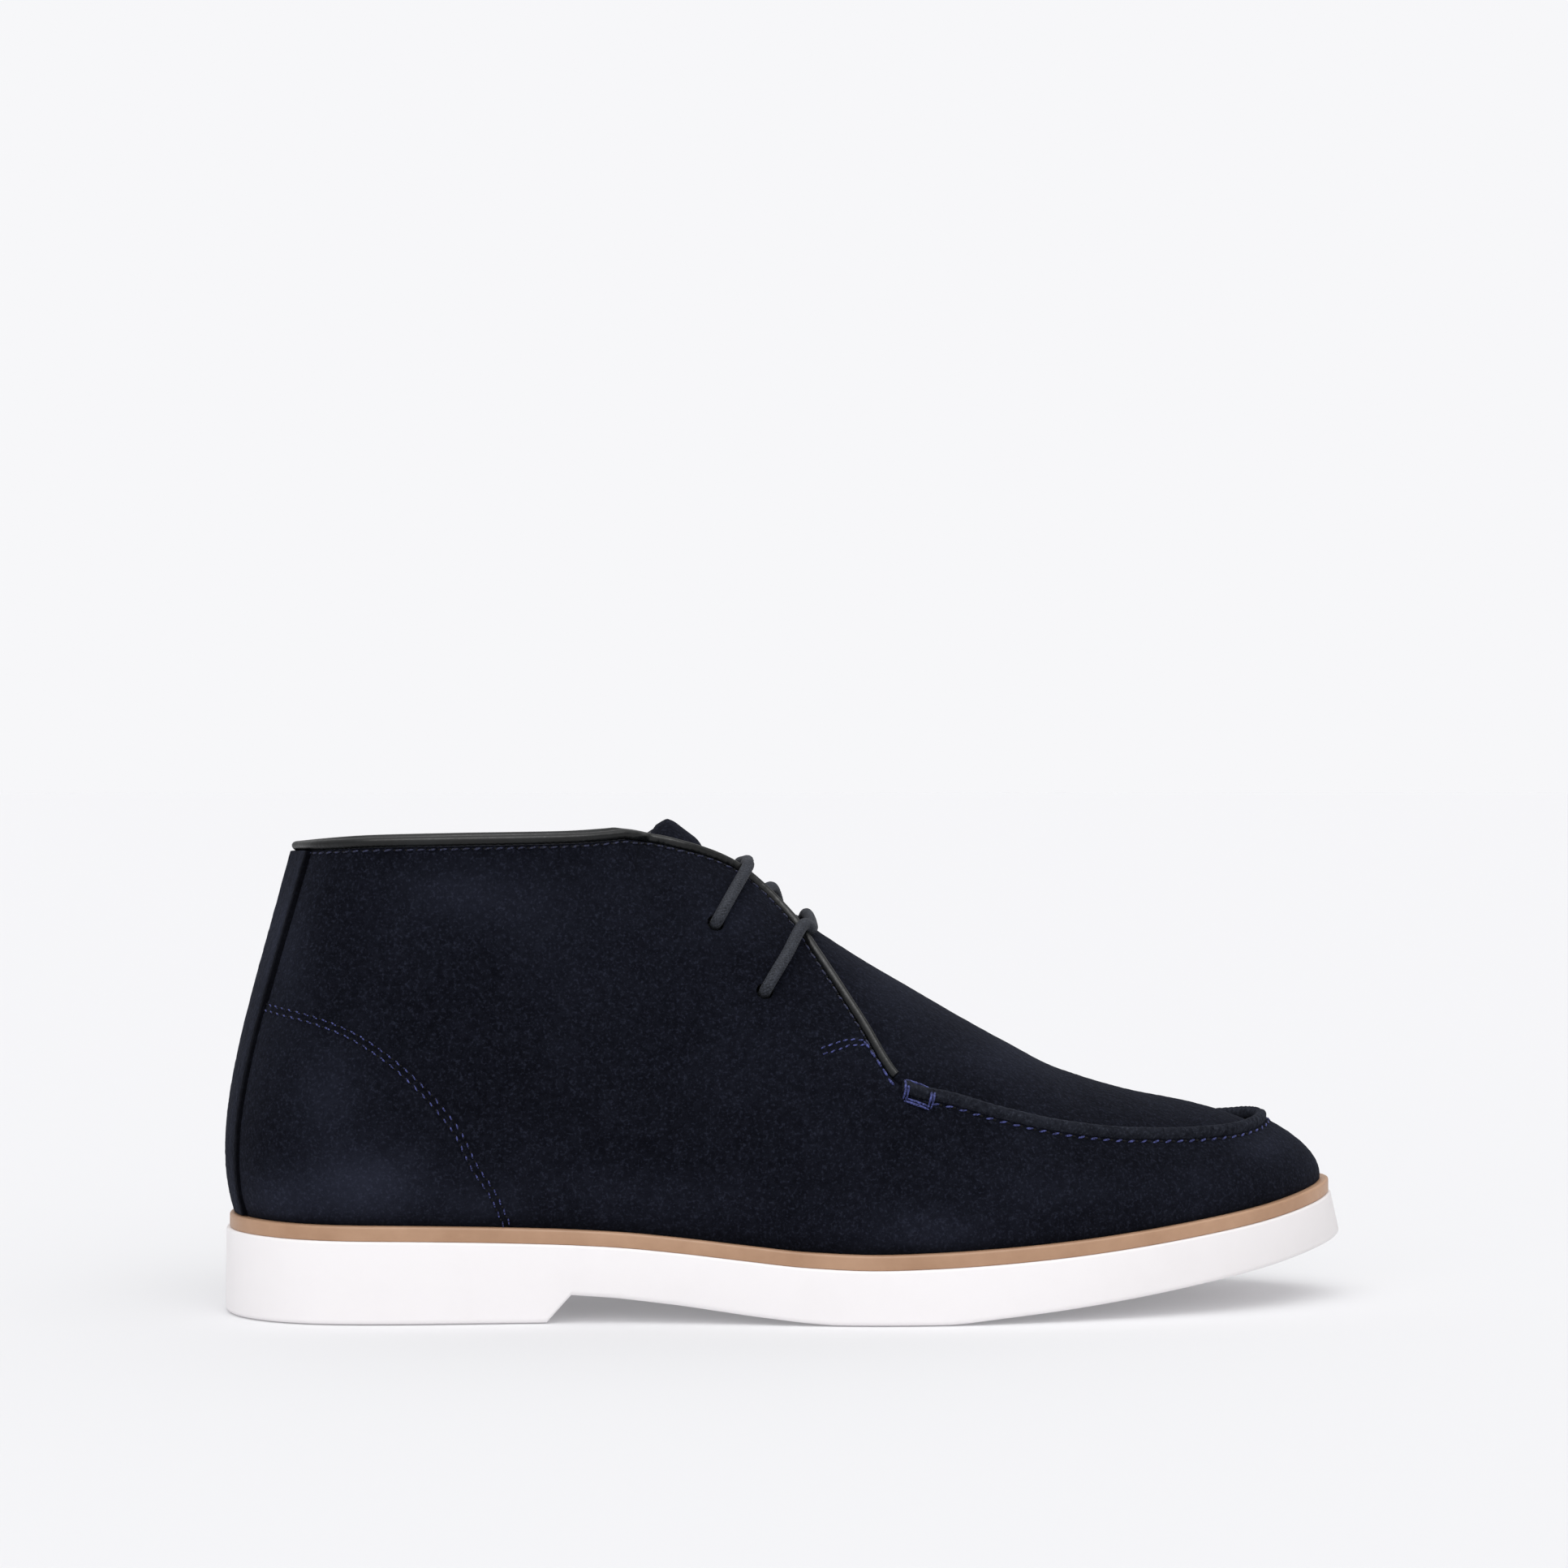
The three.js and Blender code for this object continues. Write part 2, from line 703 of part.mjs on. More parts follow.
// ---------------------------------------------------------------- lace

function laceTube(points, steps) {
  const round = new THREE.Shape();
  round.absarc(0, 0, LACE / 2, 0, 2 * Math.PI, false);
  const extrudePath = new THREE.CatmullRomCurve3(points, false, "centripetal");
  const tube = { steps, curveSegments: 4, bevelEnabled: false, extrudePath };
  return new THREE.ExtrudeGeometry(round, tube);
}

// Middle of a lace that lies on the wall at a point given from the side.
function laceOnWall(side, x, z, lift) {
  const { at, up } = placeOnWall(side, x, z);
  return shell(side, at, up, LACE / 2 + lift);
}

// Share of the way round at which the centre ridge has a given x.
function ridgeStation(x) {
  const HALVINGS = 30;
  let front = 0;
  let back = TONGUE_END / STATIONS;
  for (let i = 0; i < HALVINGS; i += 1) {
    const middle = (front + back) / 2;
    if (lastAt.topX(middle) > x) front = middle;
    else back = middle;
  }
  return front;
}

// A bar runs from one lace hole over both rolled edges to the hole across the throat.
function laceBar({ eyeX, eyeZ, overX, overZ, ridgeX, ridgeLift }) {
  const STEPS = 20;
  const MIDWAY = 0.55;
  const onBinding = BINDING.across * 2 - WALL + 3 * GAP;
  const half = (side) => [
    laceOnWall(side, eyeX, eyeZ, GAP),
    laceOnWall(side, THREE.MathUtils.lerp(eyeX, overX, MIDWAY),
      THREE.MathUtils.lerp(eyeZ, overZ, MIDWAY), GAP + onBinding / 2),
    laceOnWall(side, overX, overZ, GAP + onBinding),
  ];
  const outer = half(OUTER);
  const inner = half(INNER).reverse();
  const onTongue = LACE / 2 - (WALL + LAP_GAP);
  const middle = shell(OUTER, ridgeStation(ridgeX), 1, onTongue + ridgeLift);
  return laceTube([...outer, middle, ...inner], STEPS);
}

// Between the bars the two runs of lace cross on the tongue.
function laceCross() {
  const STEPS = 6;
  const lift = GAP + LACE / 2 - (WALL + LAP_GAP);
  const { x, reach, rise } = CROSSING;
  const middle = shell(OUTER, ridgeStation(x), 1, lift);
  const run = (forwards) => solid(laceTube([
    shell(OUTER, ridgeStation(x + forwards * reach), rise, lift),
    middle,
    shell(INNER, ridgeStation(x - forwards * reach), rise, lift),
  ], STEPS));
  return geometryOf(run(1).add(run(-1)));
}

// ---------------------------------------------------------------- the boot

const SUEDE = { color: 0x171c2c, roughness: 0.95 };
const LEATHER = { color: 0x15171d, roughness: 0.45 };
const CORD = { color: 0x2b303b, roughness: 0.85 };
const RUBBER = { color: 0xf7f3f1, roughness: 0.6 };
const TAN = { color: 0xb89073, roughness: 0.5 };
const BOARD = { color: 0x3a3c44, roughness: 0.8 };

const pieces = [
  ["outsole", outsole(), RUBBER],
  ["welt", welt(), TAN],
  ["insole", insole(), BOARD],
  ["upper", upper(), SUEDE],
  ["apron_tongue", apronTongue(), SUEDE],
  ["heel_strip", heelStrip(), SUEDE],
  ["topline_binding", toplineBinding(), LEATHER],
  ["apron_roll", apronRoll(), SUEDE],
  ["lace_bar_upper", laceBar(LACING[0]), CORD],
  ["lace_bar_lower", laceBar(LACING[1]), CORD],
  ["lace_cross", laceCross(), CORD],
];

const boot = new THREE.Group();
pieces.forEach(([name, geometry, finish]) => {
  const mesh = new THREE.Mesh(geometry, new THREE.MeshStandardMaterial({ metalness: 0, ...finish }));
  mesh.name = name;
  boot.add(mesh);
});
const box = new THREE.Box3().setFromObject(boot, true);
const middle = box.getCenter(new THREE.Vector3());
boot.position.set(-middle.x, -middle.y, 0);

export default boot;
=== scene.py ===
# %% [markdown]
# # A suede chukka boot, finished around its frame
# The frame gives the boot's solids: sole, welt, upper, apron and lace. Each one is rebuilt here as a
# finer piece in the same place, so that curves are smooth and edges are round, and then gets its
# material. Sizes in the tables are in millimetres, counted from the back of the heel, because that
# is how a last is measured. One helper turns them into metres in the frame.

# %% The frame and the tools
import json
import math

import bmesh
import bpy
import numpy as np
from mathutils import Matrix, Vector, noise

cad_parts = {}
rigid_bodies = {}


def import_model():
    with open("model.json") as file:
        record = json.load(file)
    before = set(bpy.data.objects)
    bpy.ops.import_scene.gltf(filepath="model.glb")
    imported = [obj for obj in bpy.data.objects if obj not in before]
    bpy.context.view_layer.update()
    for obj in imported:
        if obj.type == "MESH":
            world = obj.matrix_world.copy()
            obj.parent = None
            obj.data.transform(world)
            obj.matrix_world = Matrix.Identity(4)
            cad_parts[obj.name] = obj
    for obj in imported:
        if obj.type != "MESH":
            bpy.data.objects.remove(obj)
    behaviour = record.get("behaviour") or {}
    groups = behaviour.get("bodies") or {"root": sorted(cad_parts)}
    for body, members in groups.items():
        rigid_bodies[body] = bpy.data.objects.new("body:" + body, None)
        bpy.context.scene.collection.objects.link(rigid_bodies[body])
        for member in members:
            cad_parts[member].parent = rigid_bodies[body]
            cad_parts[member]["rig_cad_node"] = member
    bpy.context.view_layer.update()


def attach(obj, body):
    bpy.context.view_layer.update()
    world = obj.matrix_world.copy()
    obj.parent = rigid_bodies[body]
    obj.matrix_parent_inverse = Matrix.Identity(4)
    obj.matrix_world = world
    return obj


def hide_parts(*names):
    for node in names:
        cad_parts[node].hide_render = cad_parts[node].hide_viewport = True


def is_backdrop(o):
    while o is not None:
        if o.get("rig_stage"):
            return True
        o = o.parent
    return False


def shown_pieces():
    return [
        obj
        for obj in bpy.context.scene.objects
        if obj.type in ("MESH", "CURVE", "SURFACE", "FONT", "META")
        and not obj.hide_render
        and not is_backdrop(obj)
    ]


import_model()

MM = 0.001
HEEL_BACK = np.array([-150.783, 1.805, 0.0])  # the heel's back on the ground, in the frame
OUTER = -1  # side of the little toe
INNER = 1  # side of the big toe


def placed(points):
    """Table millimetres to metres in the frame."""
    return (np.asarray(points, float) + HEEL_BACK) * MM


# %% [markdown]
# ## Camera
# The boot is seen from its outer side, level with its collar and from a little behind, so that the
# toe is slightly further away than the heel. A long lens keeps the outline flat, as a catalogue does.

# %% Camera
AIM = (-2.07, 1.81, 138.9)  # middle of the view on the boot's own centre line
DISTANCE = 1050.0
YAW = math.radians(6.4)
FOCAL_SHARE = 2.4896  # lens length as a share of the picture's width
SENSOR = 36.0

camera_data = bpy.data.cameras.new("camera")
camera_data.sensor_width = SENSOR
camera_data.lens = FOCAL_SHARE * SENSOR
camera = bpy.data.objects.new("camera", camera_data)
bpy.context.scene.collection.objects.link(camera)
look = Vector((math.sin(YAW), math.cos(YAW), 0))
camera.location = (Vector(AIM) - look * DISTANCE) * MM
camera.rotation_euler = (math.radians(90), 0, -YAW)
camera_data.clip_start, camera_data.clip_end = 0.05, 400
bpy.context.scene.camera = camera
bpy.context.scene.view_settings.view_transform = "Standard"
print("camera at", [round(c, 4) for c in camera.location], "lens", round(camera_data.lens, 2))

# %% [markdown]
# ## Tables of the last
# A shoe is drawn from a few tables: the outline of the sole from above, its underside and its seat
# from the side, and sections up the wall of the upper. They are the tables of the boot's solids, so
# the fine pieces lie exactly where the solids do.


# %% Tables
def table(columns, rows):
    """A dict of columns from rows of numbers."""
    return dict(zip(columns.split(), np.array(rows, float).T))


OUTLINE = table("x y", [
    (301.8, 4.5), (293, -14.5), (272, -31.5), (245.5, -42.5), (217, -50), (188, -53.9),
    (160, -52.2), (132, -45.6), (104, -39.8), (76, -37.6), (48, -37), (21, -32.3),
    (4.5, -18), (0, 0), (4.5, 18), (21, 31.8), (48, 35.6), (76, 34.6),
    (104, 34.2), (132, 36.8), (160, 42.3), (188, 48.3), (216.5, 50.4), (246, 46.6),
    (273, 37), (293.5, 22.5),
])
HEEL_ROW = 13  # the row at the back of the heel

UNDERSIDE = table("x z", [
    (0, 0), (83, 0), (89.3, 7.1), (101, 6.3), (118, 4.4), (134, 2.2), (148, 0.6),
    (156, 0), (184, 0), (200, 1.3), (218, 3), (236, 5.1), (255, 7.8), (275, 11), (302, 16.2),
])
SPRING_ROW = 7  # from here on the underside is one smooth curve

SEAT = table("x z", [
    (0, 22), (26, 21.3), (51, 21), (83, 20.1), (101, 19.2), (118, 17.7), (134, 16),
    (150, 14.5), (167, 13.9), (183, 14.3), (200, 15.1), (218, 16.3), (236, 18),
    (255, 20.3), (275, 23.1), (291, 26.1), (302, 28.8),
])

INSETS = table("at sole welt upper", [
    (0, 2.5, 3.1, 5.4), (0.08, 0.8, 1.6, 4.2), (0.2, 0.4, 1.2, 3.6),
    (0.8, 0.3, 1.1, 3.2), (1, 0.2, 1.1, 3.7),
])

LAST = table("at topX topHalf topY topZ rise belly shoulder drop", [
    (0, 258, 0, 4, 55.5, 9, 1, .55, 0), (.08, 254, 0, 4, 56.3, 11.5, 1.5, .55, 0),
    (.153, 245, 0, 3.8, 58.1, 15.5, 2, .55, 0), (.245, 224, 0, 3.4, 64.5, 21, 2, .55, 0),
    (.29, 211, 0, 3.2, 71.2, 25, 2.5, .55, 0), (.339, 197, 0, 3, 78.9, 30, 2.5, .55, 0),
    (.38, 184, 0, 3, 86.5, 34, 2.5, .54, 0), (.417, 172, 0, 3, 93.5, 38, 2.5, .53, 0),
    (.46, 159, 0, 2.8, 101.9, 42, 2.5, .52, 0), (.5, 147, 0, 2.5, 110.2, 46, 2, .5, 0),
    (.545, 134.2, 0, 2, 121.1, 50, 2, .5, 0), (.58, 125.5, 0, 1.6, 127.4, 50, 2, .54, 0),
    (.61, 117, 0, 1.2, 132.8, 50, 2, .63, 1), (.626, 113.5, 0, 1, 132.8, 49, 2, .72, 4),
    (.636, 111, 15.5, .9, 126.8, 40, 2, .71, 19), (.652, 108.3, 18, .8, 125, 40, 2, .68, 21.5),
    (.68, 101, 21.5, .6, 124, 40, 2.5, .64, 28), (.72, 90, 25.5, .4, 123.3, 38, 3, .58, 34),
    (.8, 62, 29.5, 0, 122.8, 32, 4, .6, 40), (.88, 38, 25.5, 0, 122.3, 25, 5.5, .7, 43),
    (.945, 24, 14.5, 0, 121.5, 23, 7, .75, 43), (1, 18.3, 0, 0, 121.1, 22, 7.6, .78, 42.5),
])

EDGE = table("x z", [
    (104, 124.4), (112, 123.4), (120, 121.6), (127, 119.6), (134, 116.6), (141.4, 110.9),
    (148.8, 102.6), (153.7, 94.4), (163.6, 77.6), (173, 61.8), (179, 58.6), (187, 56.9),
    (200, 53), (219, 48.6), (237, 46.3), (256, 45.6), (266, 45.8), (275, 46.8), (282, 48.6),
])

GAP = 0.3  # clearance between the frame's solids
LAP_GAP = 0.45  # clearance between the upper and the apron inside it
WALL = 2.2
TONGUE = 2.0
WELT = 3.6
INSOLE = 2.4
FRAME_STATIONS = 66  # the frame's pieces start and stop at whole stations of the last
print("tables:", len(OUTLINE["x"]), "outline rows,", len(LAST["at"]), "sections of the last")

# %% [markdown]
# ## Curves through the tables
# The side profiles use a cubic that never overshoots its rows, so a flat stays flat. The outline is
# a closed cubic spline, which has no corner anywhere. Both take whole arrays at once, which keeps
# the script quick.


# %% Curve helpers
def smooth_curve(x, y):
    """A cubic through the rows that never overshoots them."""
    slope = np.diff(y) / np.diff(x)
    product = slope[:-1] * slope[1:]
    total = np.where(product > 0, slope[:-1] + slope[1:], 1)
    turn = np.concatenate([slope[:1], np.where(product > 0, 2 * product / total, 0), slope[-1:]])

    def value(at):
        k = np.clip(at, x[0], x[-1])
        i = np.clip(np.searchsorted(x, k) - 1, 0, len(x) - 2)
        span = x[i + 1] - x[i]
        t = (k - x[i]) / span
        rest = 1 - t
        start = (y[i] * (1 + 2 * t) + turn[i] * span * t) * rest**2
        return start + y[i + 1] * t * t * (3 - 2 * t) - turn[i + 1] * span * t * t * rest

    return value


def closed_spline(points):
    """A closed cubic spline through the points, as a function of the row number."""
    count = len(points)
    ring = 4 * np.eye(count) + np.roll(np.eye(count), 1, 0) + np.roll(np.eye(count), -1, 0)
    pulls = np.linalg.solve(ring, 6 * points)

    def value(row):
        i = np.floor(row).astype(int)
        t = (row - i)[..., None]
        weights = [(1 - t)**3, 3 * t**3 - 6 * t**2 + 4, -3 * t**3 + 3 * t**2 + 3 * t + 1, t**3]
        return sum(pulls[(i + k - 1) % count] * w for k, w in enumerate(weights)) / 6

    return value


outline = closed_spline(np.stack([OUTLINE["x"], OUTLINE["y"]], 1))
seat_at = smooth_curve(SEAT["x"], SEAT["z"])
edge_at = smooth_curve(EDGE["x"], EDGE["z"])
inset_of = {name: smooth_curve(INSETS["at"], INSETS[name]) for name in ("sole", "welt", "upper")}
last_at = {name: smooth_curve(LAST["at"], LAST[name]) for name in LAST if name != "at"}
spring = smooth_curve(UNDERSIDE["x"][SPRING_ROW:], UNDERSIDE["z"][SPRING_ROW:])


def welt_top(x):
    return seat_at(x) + GAP + WELT


def sole_under(x):
    straight = np.interp(x, UNDERSIDE["x"], UNDERSIDE["z"])
    return np.where(x > UNDERSIDE["x"][SPRING_ROW], spring(x), straight)


def side_rows(side):
    """Row numbers down one side of the outline, by their share of its length."""
    share = np.linspace(0, 1, 601)
    count = len(OUTLINE["x"])
    rows = share * HEEL_ROW if side == OUTER else count - share * (count - HEEL_ROW)
    steps = np.linalg.norm(np.diff(outline(rows), axis=0), axis=1)
    run = np.concatenate([[0], np.cumsum(steps)])
    return run / run[-1], rows


rows_on = {side: side_rows(side) for side in (OUTER, INNER)}


def footprint(side, at, inset):
    """A point of the sole's outline, moved in by an inset. It works on whole arrays."""
    row = np.where(side == OUTER, np.interp(at, *rows_on[OUTER]), np.interp(at, *rows_on[INNER]))
    along = outline(row + 0.01) - outline(row - 0.01)
    along /= np.linalg.norm(along, axis=-1, keepdims=True)
    inwards = np.stack([along[..., 1], -along[..., 0]], -1)
    return outline(row) + inwards * np.asarray(inset)[..., None]


print("sole length", round(float(outline(np.array([0.0]))[0, 0]), 1), "mm")

# %% [markdown]
# ## The skin of the upper
# Every section of the last is one cubic curve from the welt up to its top, which is the ridge in
# front and the collar behind. A place on the boot is then a side, a share of the way from toe to
# heel, and a share of the way up. Seams, stitches and creases all use these three numbers.


# %% The skin as a function
def section_pulls(side, at):
    """The four points that pull a section's curve up from the welt."""
    inset = inset_of["upper"](at)
    foot = footprint(side, at, inset)
    out = foot - footprint(side, at, inset + 1)
    size = {name: value(at) for name, value in last_at.items()}
    floor = welt_top(foot[..., 0]) + GAP
    top_y = size["topY"] + side * size["topHalf"]
    step = 0.004
    ahead = last_at["topX"](at - step) - last_at["topX"](at + step)
    tilt = (last_at["topZ"](at - step) - last_at["topZ"](at + step)) / ahead
    reach_x = (foot[..., 0] - size["topX"]) * size["shoulder"]
    reach_y = (foot[..., 1] - top_y) * size["shoulder"]
    belly = foot + out * size["belly"][..., None]
    return (
        np.stack([foot[..., 0], foot[..., 1], floor], -1),
        np.stack([belly[..., 0], belly[..., 1], floor + size["rise"]], -1),
        np.stack([size["topX"] + reach_x, top_y + reach_y,
                  size["topZ"] + tilt * reach_x - size["drop"]], -1),
        np.stack([size["topX"], top_y, size["topZ"]], -1),
    )


CORNER, CORNER_REACH, CORNER_BLEND = 0.634, 0.07, 0.03  # where tongue sections turn into collar
TAPS = np.linspace(-0.88, 0.88, 9)  # places averaged, as shares of the blend


def wall_pulls(side, at):
    """Section pulls, averaged along the boot near the collar's front corner to soften it."""
    side, at = np.broadcast_arrays(side, np.asarray(at, float))
    away = np.abs(at - CORNER) / CORNER_REACH
    near = away < 1
    plain = section_pulls(side, at)
    if not near.any():
        return plain
    blend = CORNER_BLEND * (1 - away[near]**2)**2
    taps = [section_pulls(side[near], at[near] + blend * share) for share in TAPS]
    weights = np.cos(TAPS * np.pi / 2)
    for k, pull in enumerate(plain):
        pull[near] = sum(tap[k] * weight for tap, weight in zip(taps, weights)) / weights.sum()
    return plain


def climbed(pulls, up):
    """The point a share of the way up a section's curve."""
    a, b, c, d = pulls
    t = np.asarray(up, float)[..., None]
    return a * (1 - t)**3 + 3 * b * t * (1 - t)**2 + 3 * c * t * t * (1 - t) + d * t**3


def skin(side, at, up):
    """Outer surface of the upper. Past the toe or the heel it carries on along the other side."""
    side, at, up = np.broadcast_arrays(side, np.asarray(at, float), np.asarray(up, float))
    side = np.where((at < 0) | (at > 1), -side, side)
    at = np.where(at < 0, -at, np.where(at > 1, 2 - at, at))
    return climbed(wall_pulls(side, at), up)


def outwards(side, at, up):
    side, at, up = np.broadcast_arrays(side, np.asarray(at, float), np.asarray(up, float))
    step = 0.004
    height = np.minimum(up, 0.97)  # the curves run together at the ridge
    along = skin(side, at + step, height) - skin(side, at - step, height)
    climb = skin(side, at, height + step) - skin(side, at, np.maximum(height - step, 0))
    normal = np.cross(climb, along) * -side[..., None]
    return normal / np.linalg.norm(normal, axis=-1, keepdims=True)


def shell(side, at, up, distance):
    """The skin moved out, or in where the distance is negative."""
    owner = np.where((np.asarray(at) == 0) | (np.asarray(at) == 1), OUTER, side)
    moved = outwards(owner, at, up) * np.asarray(distance, float)[..., None]
    return skin(owner, at, up) + moved


def halved(low, high, is_low):
    """Bisection on whole arrays: is_low says where the answer is further up."""
    for _ in range(26):
        middle = (low + high) / 2
        below = is_low(middle)
        low, high = np.where(below, middle, low), np.where(below, high, middle)
    return low


def cut_height(side, at):
    """Share of the way up at which the upper is cut: 1 at the collar."""
    at = np.asarray(at, float)
    pulls = wall_pulls(side, at)

    def below(up):
        point = climbed(pulls, up)
        return point[..., 2] < edge_at(point[..., 0])

    found = halved(np.zeros(at.shape), np.ones(at.shape), below)
    return np.where(below(np.ones(at.shape)), 1.0, found)


def place_on_wall(side, x, z):
    """(share along, share up) of points given from the side by x and z."""
    x, z = np.asarray(x, float), np.asarray(z, float)

    def height(pulls):
        zero, one = np.zeros(x.shape), np.ones(x.shape)
        return halved(zero, one, lambda up: climbed(pulls, up)[..., 2] < z)

    def further_back(at):
        pulls = wall_pulls(side, at)
        return climbed(pulls, height(pulls))[..., 0] > x

    at = halved(np.full(x.shape, 0.2), np.full(x.shape, 0.99), further_back)
    return at, height(wall_pulls(side, at))


def step_up(side, at, up, millimetres):
    """The share up that lies some millimetres along the wall from another."""
    near = skin(side, at, np.minimum(up, 0.99) - 0.01) - skin(side, at, np.minimum(up, 0.99))
    return up + 0.01 * millimetres / np.linalg.norm(near, axis=-1)


print("top of the tongue at", skin(OUTER, 0.61, 1.0).round(1), "mm")

# %% [markdown]
# ## Mesh helper
# Most pieces are a grid of points that closes on itself one or both ways. One helper makes the
# faces, and turns them all round when the piece's volume comes out negative, so that they point
# outwards.


# %% Grid to mesh
def finished(name, points, faces, materials=(), slots=None, fields=None, sharp=40):
    """A named mesh object from millimetre points and faces, smooth shaded, outsides out."""
    mesh = bpy.data.meshes.new(name)
    mesh.from_pydata(placed(points).tolist(), [], faces)
    for material in materials:
        mesh.materials.append(material)
    if slots is not None:
        mesh.polygons.foreach_set("material_index", np.asarray(slots, np.int32))
    for field, values in (fields or {}).items():
        layer = mesh.attributes.new(field, "FLOAT", "POINT")
        layer.data.foreach_set("value", np.asarray(values, np.float32).ravel())
    mesh.calc_loop_triangles()
    corners = np.array([v.co for v in mesh.vertices])
    triangles = np.array([t.vertices for t in mesh.loop_triangles])
    a, b, c = (corners[triangles[:, k]] for k in range(3))
    if np.einsum("ij,ij->i", a, np.cross(b, c)).sum() < 0:
        mesh.flip_normals()
    mesh.shade_smooth()
    mesh.set_sharp_from_angle(angle=math.radians(sharp))
    mesh.update()
    piece = bpy.data.objects.new(name, mesh)
    bpy.context.scene.collection.objects.link(piece)
    print(f"{name}: {len(triangles)} triangles")
    return piece


def tube_faces(rows, columns):
    """Faces of a tube of closed loops, with a flat end at each end."""
    last = (rows - 1) * columns
    ends = [list(range(columns))[::-1], [last + k for k in range(columns)]]
    return grid_faces(rows, columns, wrap_columns=True).tolist() + ends


def sheet_faces(rows, columns):
    """Faces of a sheet whose loops run over its top and back underneath, closed at both ends."""
    faces = grid_faces(rows, columns, wrap_columns=True).tolist()
    for first, turned in ((0, False), ((rows - 1) * columns, True)):
        for k in range(columns // 2 - 1):
            strip = [first + k, first + k + 1, first + columns - 2 - k, first + columns - 1 - k]
            faces.append(strip[::-1] if turned else strip)
    return faces


def grid_faces(rows, columns, wrap_rows=False, wrap_columns=False):
    """Quads of a grid, numbered row by row."""
    ids = np.arange(rows * columns).reshape(rows, columns)
    right, down = np.roll(ids, -1, 1), np.roll(ids, -1, 0)
    quads = np.stack([ids, down, np.roll(down, -1, 1), right], -1)
    quads = quads[:rows if wrap_rows else rows - 1, :columns if wrap_columns else columns - 1]
    return quads.reshape(-1, 4)


def ring(count):
    """(side, at) of stations all the way round: toe, outer side, heel, inner side."""
    share = np.linspace(0, 1, count + 1)
    side = np.concatenate([np.full(count + 1, OUTER), np.full(count - 1, INNER)])
    return side, np.concatenate([share, share[-2:0:-1]])


def along_edge(from_at, to_at, steps):
    """(side, at) of a run: out at one end, round the toe (from 0) or the heel (to 1), and back."""
    share = np.linspace(from_at, to_at, steps + 1)
    if to_at == 1:
        return (np.concatenate([np.full(steps + 1, OUTER), np.full(steps, INNER)]),
                np.concatenate([share, share[-2::-1]]))
    return (np.concatenate([np.full(steps, OUTER), np.full(steps + 1, INNER)]),
            np.concatenate([share[:0:-1], share]))


# %% [markdown]
# ## Shader maths
# A material is a small recipe of nodes. Wrapping a socket in a class lets the recipe be written as
# sums and products, and one method makes every other node.


# %% Shader helpers
class Wire:
    """A socket that can stand in a sum or a product."""

    def __init__(self, recipe, socket):
        self.recipe, self.socket = recipe, socket

    def _maths(self, operation, first, second):
        return self.recipe.node("ShaderNodeMath", {"operation": operation}, {0: first, 1: second})

    def __add__(self, other):
        return self._maths("ADD", self, other)

    def __mul__(self, other):
        return self._maths("MULTIPLY", self, other)

    __radd__, __rmul__ = __add__, __mul__


class Recipe:
    """A material and the nodes that it is made of."""

    def __init__(self, name):
        self.material = bpy.data.materials.new(name)
        self.material.use_nodes = True
        self.tree = self.material.node_tree
        self.tree.nodes.clear()

    def node(self, kind, settings=None, sockets=None, out=0):
        made = self.tree.nodes.new(kind)
        for key, value in (settings or {}).items():
            setattr(made, key, value)
        for key, value in (sockets or {}).items():
            if isinstance(value, Wire):
                self.tree.links.new(value.socket, made.inputs[key])
            else:
                made.inputs[key].default_value = value
        return Wire(self, made.outputs[out])

    def place(self):
        return self.node("ShaderNodeTexCoord", out="Object")

    def noise(self, scale, detail=2.0, roughness=0.5):
        return self.node("ShaderNodeTexNoise", None, {
            "Vector": self.place(), "Scale": scale, "Detail": detail, "Roughness": roughness})

    def field(self, name):
        return self.node("ShaderNodeAttribute", {"attribute_name": name}, out="Fac")

    def span(self, value, low, high, to_low=0.0, to_high=1.0):
        """A value's range moved onto another, held at both ends."""
        return self.node("ShaderNodeMapRange", {"clamp": True}, {
            "Value": value, "From Min": low, "From Max": high, "To Min": to_low, "To Max": to_high})

    def mix(self, share, first, second):
        made = self.tree.nodes.new("ShaderNodeMix")
        made.data_type = "RGBA"
        for key, value in ((0, share), (6, first), (7, second)):
            if isinstance(value, Wire):
                self.tree.links.new(value.socket, made.inputs[key])
            else:
                made.inputs[key].default_value = value if key == 0 else (*value, 1)
        return Wire(self, made.outputs[2])

    def bump(self, height, depth, strength=1.0, under=None):
        sockets = {"Height": height, "Distance": depth, "Strength": strength}
        if under:
            sockets["Normal"] = under
        return self.node("ShaderNodeBump", None, sockets)

    def surface(self, **sockets):
        named = {key.replace("_", " "): value for key, value in sockets.items()}
        shader = self.node("ShaderNodeBsdfPrincipled", None, named)
        output = self.tree.nodes.new("ShaderNodeOutputMaterial")
        self.tree.links.new(shader.socket, output.inputs[0])
        return self.material


def shade(red, green, blue):
    """A screen colour, 0 to 255, as the linear colour that nodes take."""
    parts = [c / 255 for c in (red, green, blue)]
    return tuple(c / 12.92 if c <= 0.04045 else ((c + 0.055) / 1.055)**2.4 for c in parts)


print("shader helpers ready")
